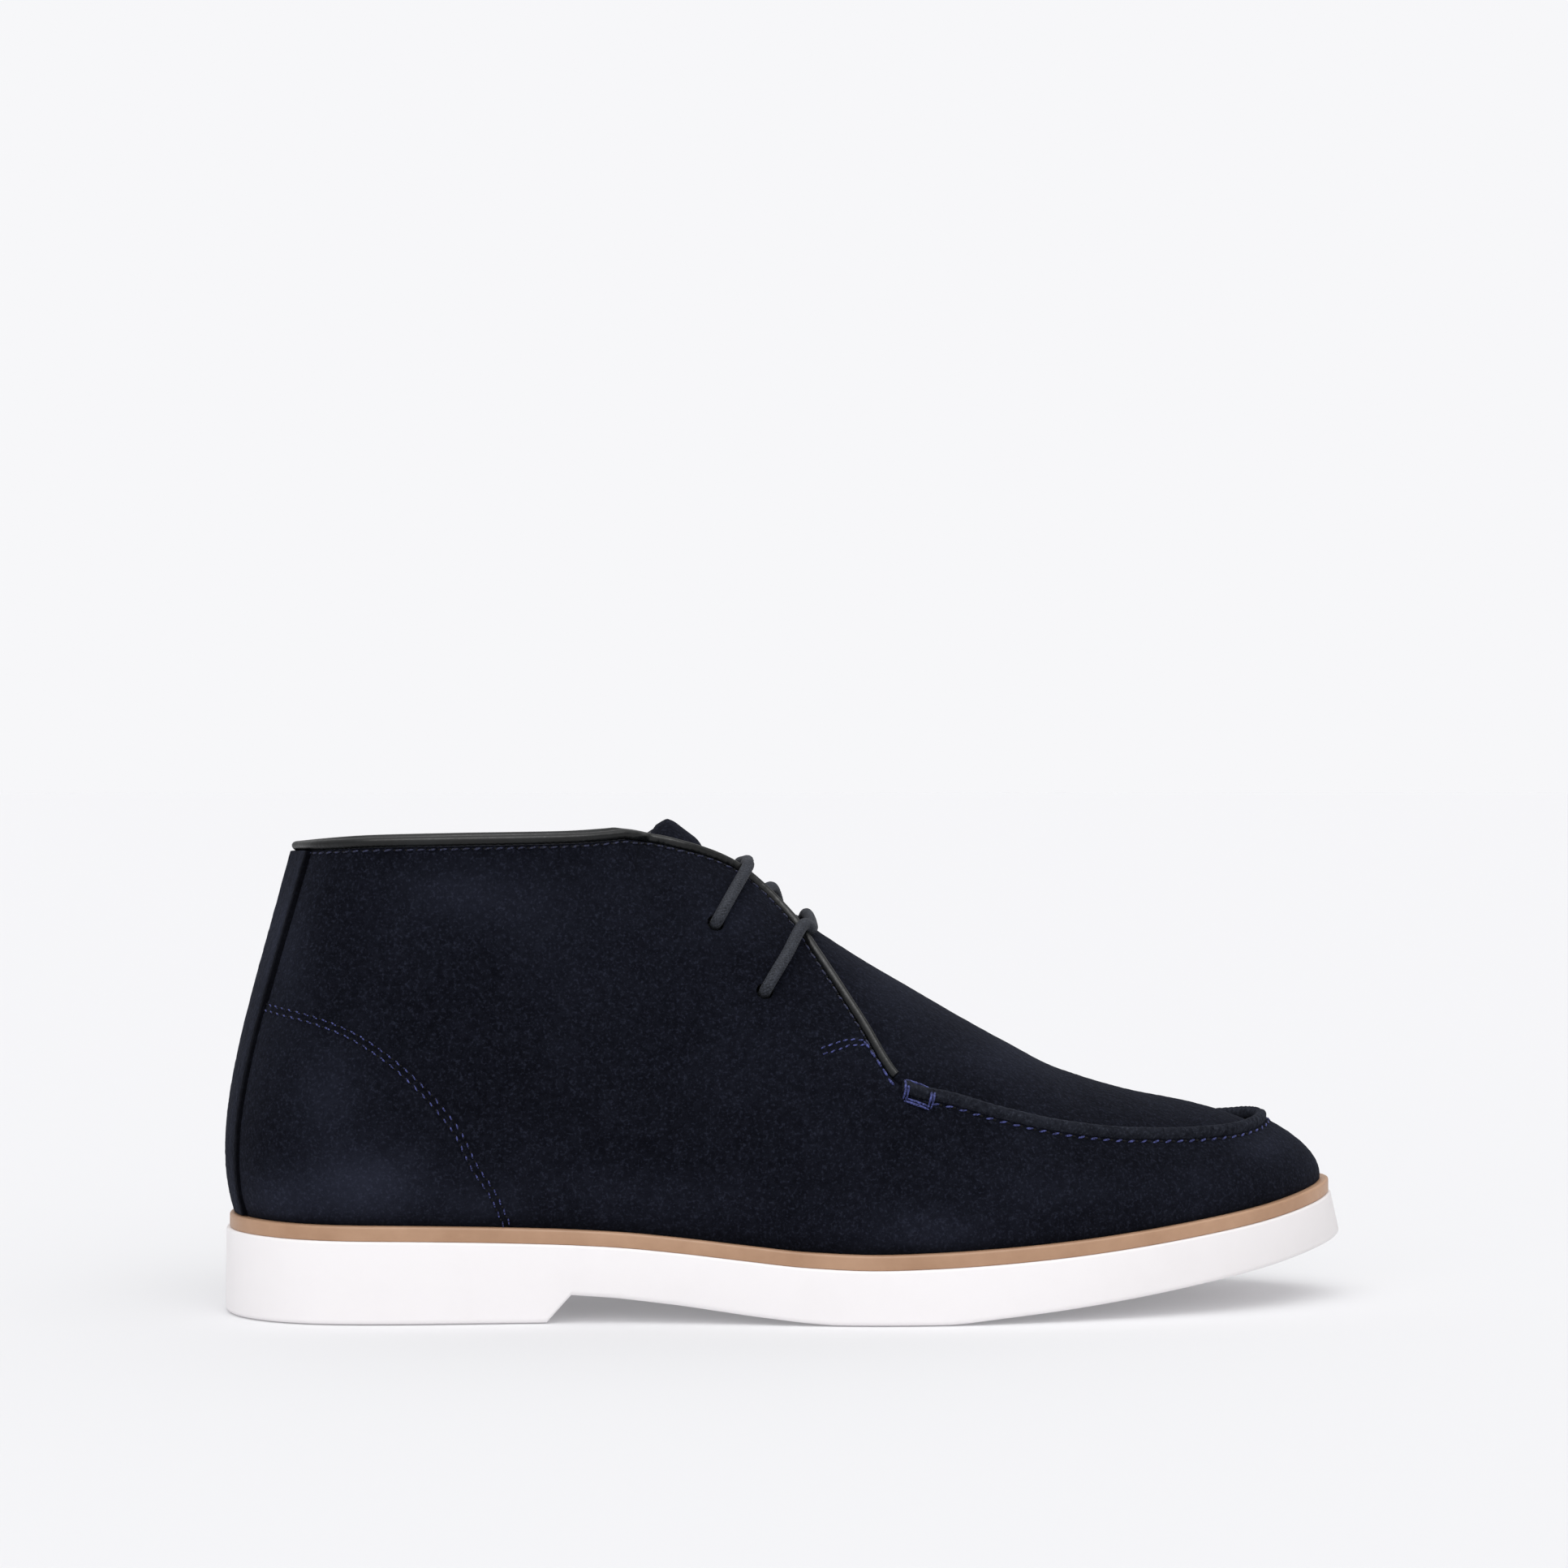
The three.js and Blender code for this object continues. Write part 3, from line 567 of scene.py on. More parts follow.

# %% [markdown]
# ## Suede
# Suede is the brushed flesh side of a hide. Its short hairs point every way, so it has no gloss, but
# a soft sheen where the light grazes it, and stroked patches look paler. Fine noise gives single
# hairs, broader noise the brushing, and fields on the mesh the paler patches, painted shade in seams
# and under edges, and the dark cut edge of the heel strip.


# %% Suede
def suede(name, deep, pale, patchy):
    recipe = Recipe(name)
    hairs = recipe.span(recipe.noise(1300, 2.0, 0.6), 0.52, 0.74)
    tufts = recipe.span(recipe.noise(520, 3.0, 0.6), 0.38, 0.74)
    brushed = recipe.span(recipe.noise(30, 4.0, 0.6), 0.42, 0.75)
    tone = hairs * 0.3 + tufts * 0.1 + brushed * patchy + recipe.field("pale")
    colour = recipe.mix(tone, deep, pale)
    # A second field turns the colour towards near black: painted shade in seams and under edges, and
    # the heel strip's own dark cut edge.
    colour = recipe.mix(recipe.field("painted_shade_and_dark_edge"), colour, shade(2, 2, 4))
    soft = recipe.bump(tufts, 0.00025, 0.5)
    nap = recipe.bump(recipe.noise(900, 3.0, 0.7), 0.00022, 0.7, under=soft)
    return recipe.surface(Base_Color=colour, Roughness=0.95, Normal=nap, Sheen_Weight=0.045,
                          Sheen_Roughness=0.5, Sheen_Tint=(0.5, 0.55, 0.75, 1),
                          Specular_IOR_Level=0.04)


navy_suede = suede("navy_suede", shade(7, 8, 15), shade(54, 58, 74), patchy=0.07)
ridge_suede = suede("ridge_suede", shade(12, 13, 19), shade(70, 74, 86), patchy=0.1)
print("suede made")

# %% [markdown]
# ## Leather, thread and lace
# The binding is a smooth, almost black calf with a fine grain and a half gloss. The thread is
# twisted, blue on the seams and almost black under the binding. The lace is a round waxed braid, and
# its strands are in the mesh; its material paints shade into the valleys between them.


# %% Leather, thread and lace
def binding_leather():
    recipe = Recipe("binding_leather")
    grain = recipe.noise(1100, 3.0, 0.6)
    worn = recipe.span(recipe.noise(150, 3.0), 0.4, 0.75)
    colour = recipe.mix(worn, shade(6, 7, 8), shade(19, 22, 24))
    return recipe.surface(Base_Color=colour, Roughness=recipe.span(grain, 0.3, 0.7, 0.3, 0.46),
                          Normal=recipe.bump(grain, 0.00012, 0.5), Specular_IOR_Level=0.3)


def twisted_thread(name, deep, pale):
    recipe = Recipe(name)
    twist = recipe.span(recipe.noise(1700, 2.0), 0.35, 0.7)
    return recipe.surface(Base_Color=recipe.mix(twist, deep, pale), Roughness=0.6,
                          Specular_IOR_Level=0.2, Sheen_Weight=0.05,
                          Normal=recipe.bump(twist, 0.0001, 0.5))


def waxed_braid():
    recipe = Recipe("waxed_braid")
    strand = recipe.field("strand")
    fibre = recipe.span(recipe.noise(2200, 2.0, 0.6), 0.4, 0.75)
    # Painted shade: the colour darkens in the valleys between the strands.
    colour = recipe.mix(strand * 0.45 + fibre * 0.5, shade(5, 6, 9), shade(74, 78, 88))
    return recipe.surface(Base_Color=colour, Roughness=0.66, Specular_IOR_Level=0.15,
                          Sheen_Weight=0.04, Normal=recipe.bump(fibre, 0.00012, 0.6))


def dark_leather(name, deep, pale, rough):
    recipe = Recipe(name)
    grain = recipe.noise(700, 4.0, 0.6)
    colour = recipe.mix(recipe.span(grain, 0.35, 0.7), deep, pale)
    return recipe.surface(Base_Color=colour, Roughness=rough, Specular_IOR_Level=0.3,
                          Normal=recipe.bump(grain, 0.00015, 0.4))


binding_finish = binding_leather()
thread_finish = twisted_thread("blue_thread", shade(22, 25, 62), shade(84, 92, 156))
dark_thread_finish = twisted_thread("dark_thread", shade(6, 7, 14), shade(54, 58, 88))
lace_finish = waxed_braid()
lining_finish = dark_leather("lining_leather", shade(30, 31, 36), shade(52, 53, 60), 0.6)
edge_finish = dark_leather("cut_edge", shade(8, 9, 13), shade(20, 22, 30), 0.9)
# Painted shade: near-black dots stand in for the shade inside the needle holes.
hole_shade_finish = dark_leather("needle_hole_shade", shade(3, 3, 6), shade(8, 8, 12), 0.95)
print("leather, thread and lace made")

# %% [markdown]
# ## Welt and sole
# The welt is a satin tan strip, with a cloudy tone and fine pores. The sole is one matt white rubber,
# with a fine moulded texture, and a little greyer towards the toe.


# %% Welt and rubber
def tan_welt():
    recipe = Recipe("tan_welt")
    cloud = recipe.span(recipe.noise(60, 4.0, 0.6), 0.35, 0.7)
    pores = recipe.noise(1300, 3.0, 0.6)
    colour = recipe.mix(cloud, shade(168, 131, 103), shade(184, 147, 119))
    return recipe.surface(Base_Color=colour, Roughness=recipe.span(pores, 0.3, 0.7, 0.36, 0.5),
                          Normal=recipe.bump(pores, 0.00006, 0.4), Specular_IOR_Level=0.35)


def white_rubber():
    recipe = Recipe("white_rubber")
    along = recipe.node("ShaderNodeSeparateXYZ", None, {"Vector": recipe.place()})
    toward_toe = recipe.span(along, 0.06, 0.15)
    cloud = recipe.span(recipe.noise(70, 4.0, 0.6), 0.45, 0.75)
    colour = recipe.mix(toward_toe * 0.8 + cloud * 0.12, shade(244, 241, 242), shade(229, 225, 225))
    fine = recipe.noise(2400, 2.0, 0.5)
    return recipe.surface(Base_Color=colour, Roughness=0.55, Specular_IOR_Level=0.35,
                          Normal=recipe.bump(fine, 0.00004, 0.3))


welt_finish = tan_welt()
rubber_finish = white_rubber()
print("welt and rubber made")

# %% [markdown]
# ## The lace
# A round lace 3.3 mm thick. It starts inside the boot at a top hole, comes out, goes over both bound
# edges as the upper bar, into the other top hole and down under the flaps, crossing over the tongue,
# to the lower holes and their bar, and crosses back. Its two ends are tucked in at the top holes.
# The camera and the lace come first, because nothing else may push them out of place.

# %% The lace's route
LACE = 3.3
EYELETS = {"top": (128.0, 102.5), "low": (140.2, 85.0)}
BARS = {"top": (136.3, 136.4, 139.1), "low": (150.6, 150.4, 155.1)}  # x at the edge, past it, midway
CROSSING_X = 146.0
UNDER = -4.4  # depth of a run between flap and tongue
BINDING_ACROSS, BINDING_TALL = 1.5, 1.3  # half sizes
BINDING_OUT = BINDING_ACROSS - WALL + GAP


def edge_frames(side, at):
    """Points on the cut edge, with their outward direction and the direction over the edge."""
    step = 0.002
    up = cut_height(side, at)
    point = shell(side, at, up, 0)
    ahead, behind = np.minimum(at + step, 1), np.maximum(at - step, 0)
    along = (shell(side, ahead, cut_height(side, ahead), 0)
             - shell(side, behind, cut_height(side, behind), 0))
    out = outwards(np.where((at == 0) | (at == 1), OUTER, side), at, up)
    over = np.cross(out, along)
    over /= np.linalg.norm(over, axis=-1, keepdims=True)
    rise = skin(side, at, 1.0) - skin(side, at, 0.5)
    over *= np.where((over * rise).sum(-1, keepdims=True) < 0, -1, 1)
    return point, out, over


def edge_place(side, x):
    """Share along at which the cut edge of the flap has a given x."""
    share = halved(np.array(0.42), np.array(0.62), lambda at: (
        skin(side, at, cut_height(side, at))[..., 0] > x))
    return float(share)


def over_edge(side, x, out, over):
    point, normal, across = edge_frames(np.array(side), np.array(edge_place(side, x)))
    return point + normal * out + across * over


def on_wall(side, x, z, depth):
    at, up = place_on_wall(side, x, z)
    return shell(side, at, up, depth)


def on_crest(x, depth):
    at = halved(np.array(0.3), np.array(0.62), lambda share: last_at["topX"](share) > x)
    return (shell(OUTER, at, 1.0, depth) + shell(INNER, at, 1.0, depth)) / 2


def out_of_hole(side, level):
    """From inside the flap, out of its hole and up to just past the bound edge."""
    x, z = EYELETS[level]
    edge_x, past_x, _ = BARS[level]
    edge = over_edge(side, edge_x, 0, 0)
    between = [(x + (edge[0] - x) * share, z + (edge[2] - z) * share) for share in (0.24, 0.55)]
    radius = LACE / 2
    return [
        on_wall(side, x + 0.2, z + 0.2, UNDER + 0.3),
        on_wall(side, x + 0.25, z + 0.3, -1.4),
        on_wall(side, x + 0.45, z + 0.55, 0.6),
        on_wall(side, *between[0], radius + 0.3),
        on_wall(side, *between[1], radius + 0.35),
        over_edge(side, edge_x, BINDING_OUT + BINDING_ACROSS + radius + 0.1, 0.4),
        over_edge(side, past_x, BINDING_OUT + 0.9, 2 * BINDING_TALL + GAP + radius + 0.2),
    ]


def bar(level):
    """From inside the outer flap, over the tongue and back inside the inner flap."""
    near, far = out_of_hole(OUTER, level), out_of_hole(INNER, level)
    middle = on_crest(BARS[level][-1], 0)
    on_tongue = middle[2] - WALL - LAP_GAP + LACE / 2 + 0.3
    middle[2] = max(on_tongue, (near[-1][2] + far[-1][2]) / 2 + 0.6)
    return [*near, middle, *far[::-1]]


def diagonal(level_in, level_out, lift):
    """Under the flaps from an inner hole to an outer one, crossing over the tongue."""
    edges = {"top": (141.0, 108.5), "low": (150.0, 96.5)}
    return [
        on_wall(INNER, *edges[level_in], UNDER),
        on_crest(CROSSING_X, lift),
        on_wall(OUTER, *edges[level_out], UNDER),
    ]


route = [
    on_wall(OUTER, 116, 100, UNDER),
    on_wall(OUTER, 121, 101, UNDER),
    *bar("top"),
    *diagonal("top", "low", UNDER + 0.5),
    *bar("low"),
    *diagonal("low", "top", UNDER + LACE + 0.9),
    on_wall(OUTER, 134, 99.5, UNDER),
    on_wall(OUTER, 128, 94, UNDER),
]
print("lace route:", len(route), "points")


# %% The lace as a braid
def rounded_path(points, spacing):
    """A smooth even path: a centripetal spline through the points, then equal steps."""
    p = np.array([2 * points[0] - points[1], *points, 2 * points[-1] - points[-2]])
    knots = np.concatenate([[0], np.cumsum(np.linalg.norm(np.diff(p, axis=0), axis=1)**0.5)])
    fine = []
    for i in range(1, len(p) - 2):
        t0, t1, t2, t3 = knots[i - 1:i + 3]
        t = np.linspace(t1, t2, 24, endpoint=False)[:, None]
        a1 = ((t1 - t) * p[i - 1] + (t - t0) * p[i]) / (t1 - t0)
        a2 = ((t2 - t) * p[i] + (t - t1) * p[i + 1]) / (t2 - t1)
        a3 = ((t3 - t) * p[i + 1] + (t - t2) * p[i + 2]) / (t3 - t2)
        b1 = ((t2 - t) * a1 + (t - t0) * a2) / (t2 - t0)
        b2 = ((t3 - t) * a2 + (t - t1) * a3) / (t3 - t1)
        fine.append(((t2 - t) * b1 + (t - t1) * b2) / (t2 - t1))
    fine = np.concatenate([*fine, p[-2:-1]])
    return evenly(fine, spacing)


def evenly(points, spacing):
    run = np.concatenate([[0], np.cumsum(np.linalg.norm(np.diff(points, axis=0), axis=1))])
    count = max(int(run[-1] / spacing), 2)
    goal = np.linspace(0, run[-1], count + 1)
    return np.stack([np.interp(goal, run, points[:, k]) for k in range(points.shape[1])], 1)


def frames_along(path):
    """Directions along, aside and up for each point of a path, turning as little as possible."""
    along = np.gradient(path, axis=0)
    along /= np.linalg.norm(along, axis=1, keepdims=True)
    aside = np.empty_like(along)
    aside[0] = np.cross(along[0], (0.0, 0.3, 1.0))
    for i in range(1, len(path)):
        kept = aside[i - 1] - along[i] * (aside[i - 1] @ along[i])
        aside[i] = kept / np.linalg.norm(kept)
    aside[0] /= np.linalg.norm(aside[0])
    return along, aside, np.cross(along, aside)


lace_path = rounded_path(route, 0.3)
for _ in range(3):  # takes the last kinks out
    lace_path[1:-1] = (lace_path[:-2] + 2 * lace_path[1:-1] + lace_path[2:]) / 4
SIDES = 28
STRANDS = 8
BRAID_PITCH = 7.0  # length of one strand's turn
VALLEY = 0.16  # depth between strands
around = np.linspace(0, 2 * np.pi, SIDES, endpoint=False)
run = np.concatenate([[0], np.cumsum(np.linalg.norm(np.diff(lace_path, axis=0), axis=1))])
turn = 2 * np.pi * run[:, None] / BRAID_PITCH
right = np.sin(STRANDS / 2 * (around[None] + turn))
left = np.sin(STRANDS / 2 * (around[None] - turn))
strand = np.abs(right * left)**0.5
radius = LACE / 2 - VALLEY + VALLEY * strand
_, aside, above = frames_along(lace_path)
tube = (lace_path[:, None] + radius[..., None] * (np.cos(around)[None, :, None] * aside[:, None]
        + np.sin(around)[None, :, None] * above[:, None]))
lace = finished("lace", tube.reshape(-1, 3), tube_faces(len(lace_path), SIDES), [lace_finish],
                fields={"strand": strand}, sharp=80)
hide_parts("lace_bar_upper", "lace_bar_lower", "lace_cross")

# %% [markdown]
# ## Upper
# The vamp and quarters are one wall here, as in the frame, with the same lace holes. The mesh is fine
# enough for soft relief: the stiffener in the heel stands out a little and ends along a curved seam,
# and the sides have slow hollows where the hide was pulled over the last.

# %% Relief and shading of the upper
COUNTER = table("x z", [  # curved seam at the end of the heel stiffener, from the side
    (9.8, 80.7), (21.9, 78.2), (31.9, 74.6), (41.5, 68.6), (50.1, 61.1), (56, 54.6),
    (60.4, 48.6), (64.6, 40), (69.3, 32.9), (72.6, 25.6),
])
HOLLOWS = table("x z long tall depth", [  # soft troughs (deep) and ridges (negative)
    (112, 80, 26, 16, 0.7), (126, 58, 22, 10, 0.5), (150, 58, 14, 9, -0.5),
    (168, 42, 20, 6, 0.5), (196, 36, 18, 5, -0.35), (92, 100, 20, 10, -0.4),
    (70, 88, 14, 12, 0.4), (236, 34, 16, 4, 0.25), (34, 98, 12, 10, 0.3),
])
PATCHES = table("x z long tall pale", [  # where the nap is stroked paler
    (36, 36, 15, 9, 0.34), (14, 31, 9, 7, 0.22), (181, 24, 15, 6, 0.14), (60, 112, 16, 7, 0.12),
    (27, 58, 9, 12, 0.16), (132, 104, 8, 6, 0.12), (218, 33, 18, 5, 0.08), (110, 33, 30, 6, 0.06),
    (16, 98, 6, 14, 0.14), (76, 106, 20, 9, 0.08), (276, 42, 9, 4, 0.16), (256, 34, 12, 5, 0.06),
    (208, 67, 26, 5, 0.1), (178, 84, 12, 7, 0.08), (66, 30, 12, 6, 0.12),
])
NAP = 0.09  # unevenness of brushed suede
counter_x = smooth_curve(COUNTER["z"][::-1], COUNTER["x"][::-1])


def soft_spots(spots, points, key):
    """Sum of soft round spots given from the side."""
    total = np.zeros(points.shape[:-1])
    for x, z, long, tall, size in zip(spots["x"], spots["z"], spots["long"], spots["tall"],
                                      spots[key]):
        off = ((points[..., 0] - x) / long)**2 + ((points[..., 2] - z) / tall)**2
        total += size * np.exp(-off)
    return total


def behind_counter(points):
    """Signed distance, in mm, from the counter's curved seam: positive towards the heel."""
    slope = (counter_x(points[..., 2] + 1) - counter_x(points[..., 2] - 1)) / 2
    flat = (counter_x(points[..., 2]) - points[..., 0]) / np.sqrt(1 + slope**2)
    return np.minimum(flat, COUNTER["z"][0] + 1.5 - points[..., 2])


def relief(points):
    """How far the suede stands out from the plain skin, in mm."""
    from_seam = behind_counter(points)
    stiffener = 0.35 / (1 + np.exp(-np.clip(from_seam, -30, 30) / 0.9))
    groove = 0.22 * np.exp(-((from_seam + 0.3) / 1.3)**2) * (points[..., 0] > 12)
    return stiffener - groove - soft_spots(HOLLOWS, points, "depth")


def ruffle(points, size):
    """Tiny unevenness of brushed suede, always the same for the same place."""
    flat = points.reshape(-1, 3)
    values = [noise.noise(Vector(p) * 0.9) + 0.5 * noise.noise(Vector(p) * 2.1) for p in flat]
    return size * np.array(values).reshape(points.shape[:-1])


print("relief ready:", len(HOLLOWS["x"]), "hollows,", len(PATCHES["x"]), "pale patches")

# %% The upper's wall
AROUND, UP, DOWN = 300, 72, 16
side, at = ring(AROUND)
cut = cut_height(side, at)
heights = cut[:, None] * np.linspace(0, 1, UP + 1)[None]
base = skin(side[:, None], at[:, None], heights)
stand = relief(base) + ruffle(base, NAP)
fade = np.clip(heights * 14, 0, 1)
outside = shell(side[:, None], at[:, None], heights, stand * fade)
down = cut[:, None] * np.linspace(1, 0, DOWN + 1)[None]
inside = shell(side[:, None], at[:, None], down, -WALL)
inside[:, -1, 2] = outside[:, 0, 2]
loops = np.concatenate([outside, inside], 1)
rows, columns = loops.shape[:2]
faces = grid_faces(rows, columns, True, True)
column_of = np.tile(np.arange(columns), rows)
slots = np.where(column_of < UP, 0, np.where(column_of == UP, 2, 1))
pale = np.concatenate([soft_spots(PATCHES, base, "pale"), np.zeros(inside.shape[:2])], 1)
# Painted shade: darker at the foot of the wall where it meets the welt, and in the groove along the
# stiffener's seam.
painted_shade_and_dark_edge = np.zeros(loops.shape[:2])
along_wall = heights * 95  # about millimetres up the wall
from_seam = behind_counter(base)
painted_shade_and_dark_edge[:, :UP + 1] = (0.55 * np.exp(-(along_wall / 1.8)**2)
                    + 0.35 * np.exp(-((from_seam + 0.2) / 1.5)**2) * (base[..., 0] > 12))
upper = finished("upper_suede", loops.reshape(-1, 3), faces.tolist(),
                 [navy_suede, lining_finish, edge_finish], slots, {"pale": pale, "painted_shade_and_dark_edge": painted_shade_and_dark_edge})

# %% [markdown]
# ### Lace holes
# The four holes are punched, with no metal ring, so each is a plain cylinder taken away from the
# wall. A Boolean with the exact solver does it, and the result is kept as a plain mesh.

# %% Punching the lace holes
HOLE, HOLE_SIDES = 4.5, 32
punches = bpy.data.meshes.new("punches")
punch_points, punch_faces = [], []
for hole_side in (OUTER, INNER):
    for x, z in EYELETS.values():
        hole_at, hole_up = place_on_wall(hole_side, x, z)
        centre = skin(hole_side, hole_at, hole_up)
        axis = outwards(hole_side, hole_at, hole_up)
        across = np.cross(axis, (0, 0, 1))
        across /= np.linalg.norm(across)
        turned = np.linspace(0, 2 * np.pi, HOLE_SIDES, endpoint=False)[:, None]
        circle = (np.cos(turned) * across + np.sin(turned) * np.cross(axis, across)) * HOLE / 2
        first = len(punch_points)
        punch_points += [*(centre + circle + axis * 5), *(centre + circle - axis * 6)]
        punch_faces += [[first + k for k in face] for face in tube_faces(2, HOLE_SIDES)]
punches.from_pydata(placed(punch_points).tolist(), [], punch_faces)
punches.materials.append(edge_finish)
cutter = bpy.data.objects.new("punches", punches)
bpy.context.scene.collection.objects.link(cutter)


def turn_outwards(mesh):
    """Makes a closed mesh's faces point outwards."""
    work = bmesh.new()
    work.from_mesh(mesh)
    bmesh.ops.recalc_face_normals(work, faces=work.faces)
    work.to_mesh(mesh)
    work.free()


turn_outwards(punches)
punch = upper.modifiers.new("punch", "BOOLEAN")
punch.operation, punch.solver, punch.object = "DIFFERENCE", "EXACT", cutter
punch.material_mode = "TRANSFER"
punched = bpy.data.meshes.new_from_object(
    upper.evaluated_get(bpy.context.evaluated_depsgraph_get()))
upper.modifiers.clear()
upper.data = punched
bpy.data.objects.remove(cutter)
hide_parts("upper")
print("upper with holes:", len(upper.data.polygons), "faces")

# %% [markdown]
# ## Apron and tongue
# One sheet of suede is the apron on top of the forefoot and, further back, the tongue. It starts just
# inside the upper's cut edge and follows the same sections at a lower depth. Between the flaps it is
# pressed in by the lace that crosses there.

# %% Apron and tongue
TONGUE_END = 41.35 / FRAME_STATIONS  # share along at which the tongue stops
AT_STEPS, ACROSS, TUCKED = 190, 22, 4  # steps along, up to the crest, and hidden inside the upper
EDGE_SHADE = np.array([1, 1, 1, 1, 0.7, 0.35, 0.1])  # darkest where it goes under the upper
PRESSED = (126.0, 134.0, 148.0, 157.0)  # x where the lace starts, fully, and stops pressing it in
PRESS_DEPTH = 3.6
TONGUE_ROUND_FROM, TONGUE_ROUND, TONGUE_DROP = 118.6, 5.6, 3.2  # the rounded end of the tongue


def pressed_in(x):
    """How deep the lace presses the tongue in, in mm."""
    start, full, easing, stop = PRESSED
    rise = np.clip((x - start) / (full - start), 0, 1)
    fall = np.clip((stop - x) / (stop - easing), 0, 1)
    return PRESS_DEPTH * (rise * rise * (3 - 2 * rise)) * (fall * fall * (3 - 2 * fall))


apron_at = np.linspace(0, TONGUE_END, AT_STEPS + 1)
halves = {}
for half in (OUTER, INNER):
    edge_up = cut_height(half, apron_at)[:, None]
    tucked = edge_up * np.linspace(6 / 7, 1, TUCKED + 1)[None, :-1]
    open_part = edge_up + (1 - edge_up) * np.linspace(0, 1, ACROSS + 1)[None, :-1]
    heights = np.concatenate([tucked, open_part], 1)
    plain = skin(half, apron_at[:, None], heights)
    depth = -(WALL + LAP_GAP) - pressed_in(plain[..., 0])
    halves[half] = [shell(half, apron_at[:, None], heights, depth - level) for level in (0, TONGUE)]
crest_x = last_at["topX"](apron_at)
crest_depth = -(WALL + LAP_GAP) - pressed_in(crest_x)
crest = [(shell(OUTER, apron_at, 1.0, crest_depth - level)
          + shell(INNER, apron_at, 1.0, crest_depth - level))[:, None] / 2
         for level in (0, TONGUE)]
top_face, under_face = (
    np.concatenate([halves[OUTER][k], crest[k], halves[INNER][k][:, ::-1]], 1) for k in (0, 1))
top_face[..., 2] += ruffle(top_face, NAP)
from_end = np.clip((TONGUE_ROUND_FROM - top_face[..., 0]) / TONGUE_ROUND, 0, 1)
drop = TONGUE_DROP * (1 - np.sqrt(1 - from_end**2))
top_face[..., 2] -= drop
under_face[..., 2] -= drop * 0.5
loops = np.concatenate([top_face, under_face[:, ::-1]], 1)
rows, columns = loops.shape[:2]
half_columns = top_face.shape[1]
faces = sheet_faces(rows, columns)
pale = soft_spots(PATCHES, loops, "pale")
shadow = np.zeros(loops.shape[:2])
shadow[:, :len(EDGE_SHADE)] = EDGE_SHADE
shadow[:, half_columns - len(EDGE_SHADE):half_columns] = EDGE_SHADE[::-1]
slots = np.zeros(len(faces), int)
under = (np.arange((rows - 1) * columns) % columns) >= half_columns
slots[:len(under)] = np.where(under, 1, 0)
# The edge shade is painted shade where the sheet goes under the upper.
apron = finished("apron_suede", loops.reshape(-1, 3), faces, [navy_suede, lining_finish], slots,
                 {"pale": pale, "painted_shade_and_dark_edge": shadow * 0.5})
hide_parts("apron_tongue")

# %% [markdown]
# ## Raised seam, binding and heel strip
# The apron and the vamp are turned up and sewn edge to edge, which leaves a soft double lip all round
# the toe. The collar and the flaps are bound with a narrow roll of calf. A wide strip covers the
# back seam. The first two are beads swept along the cut edge; the strip is a thin slice of the
# upper's own skin, moved outwards.


# %% Beads along the cut edge
def bead(name, side, at, section, centre, materials, fields=None):
    """A closed profile, given as (out, over) points in mm, swept along the cut edge."""
    point, out, over = edge_frames(side, at)
    middle = point + out * centre[0] + over * centre[1]
    profile = np.asarray(section(len(side)), float)
    loops = (middle[:, None] + out[:, None] * profile[..., 0, None]
             + over[:, None] * profile[..., 1, None])
    made = {key: value(loops) for key, value in (fields or {}).items()}
    return finished(name, loops.reshape(-1, 3), tube_faces(*loops.shape[:2]), materials, None,
                    made, sharp=50)


RIDGE = {"out": 2.1, "over": 1.65, "lips": 0.45, "ends": 34}  # half sizes, groove depth, taper
RIDGE_END = 28.2 / FRAME_STATIONS


def ridge_section(count):
    """Two soft lips with a groove between them, thinner at both ends of the run."""
    angle = np.linspace(0, 2 * np.pi, 28, endpoint=False)
    groove = RIDGE["lips"] * np.exp(-((np.angle(np.exp(1j * (angle - 0.75))) / 0.24)**2))
    from_end = np.minimum(np.arange(count), np.arange(count)[::-1])[:, None]
    size = 0.6 + 0.4 * np.clip(from_end / RIDGE["ends"], 0, 1)**0.8
    wave = 1 + 0.03 * np.sin(np.arange(count)[:, None] * 1.3 + angle)
    return np.stack([(RIDGE["out"] - groove) * np.cos(angle) * size * wave,
                     (RIDGE["over"] - groove) * np.sin(angle) * size * wave], -1)


side, at = along_edge(RIDGE_END, 0, 230)
ridge = bead("apron_ridge", side, at, ridge_section, (0.35, 0.5), [ridge_suede], {
    "pale": lambda p: 0.1 + 0.12 * np.clip(ruffle(p, 1.0), -1, 1),
    "painted_shade_and_dark_edge": lambda p: np.zeros(p.shape[:2])})
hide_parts("apron_roll")

STITCH_PITCH = 2.9
BINDING_FROM = 28.7 / FRAME_STATIONS


def binding_section(count):
    """A round roll that is drawn in a little at every stitch along its lower edge."""
    angle = np.linspace(0, 2 * np.pi, 24, endpoint=False)
    pull = 0.06 * np.cos(np.arange(count)[:, None] * 2 * np.pi / 3)
    size = 1 - pull * np.clip(-np.sin(angle), 0, 1)
    across, tall = BINDING_ACROSS * np.cos(angle), BINDING_TALL * np.sin(angle)
    return np.stack([across * size, tall * size], -1)


side, at = along_edge(BINDING_FROM, 1, 300)
binding = bead("collar_binding", side, at, binding_section,
               (BINDING_OUT + 0.25, GAP + BINDING_TALL - 0.15), [binding_finish])
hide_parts("topline_binding")

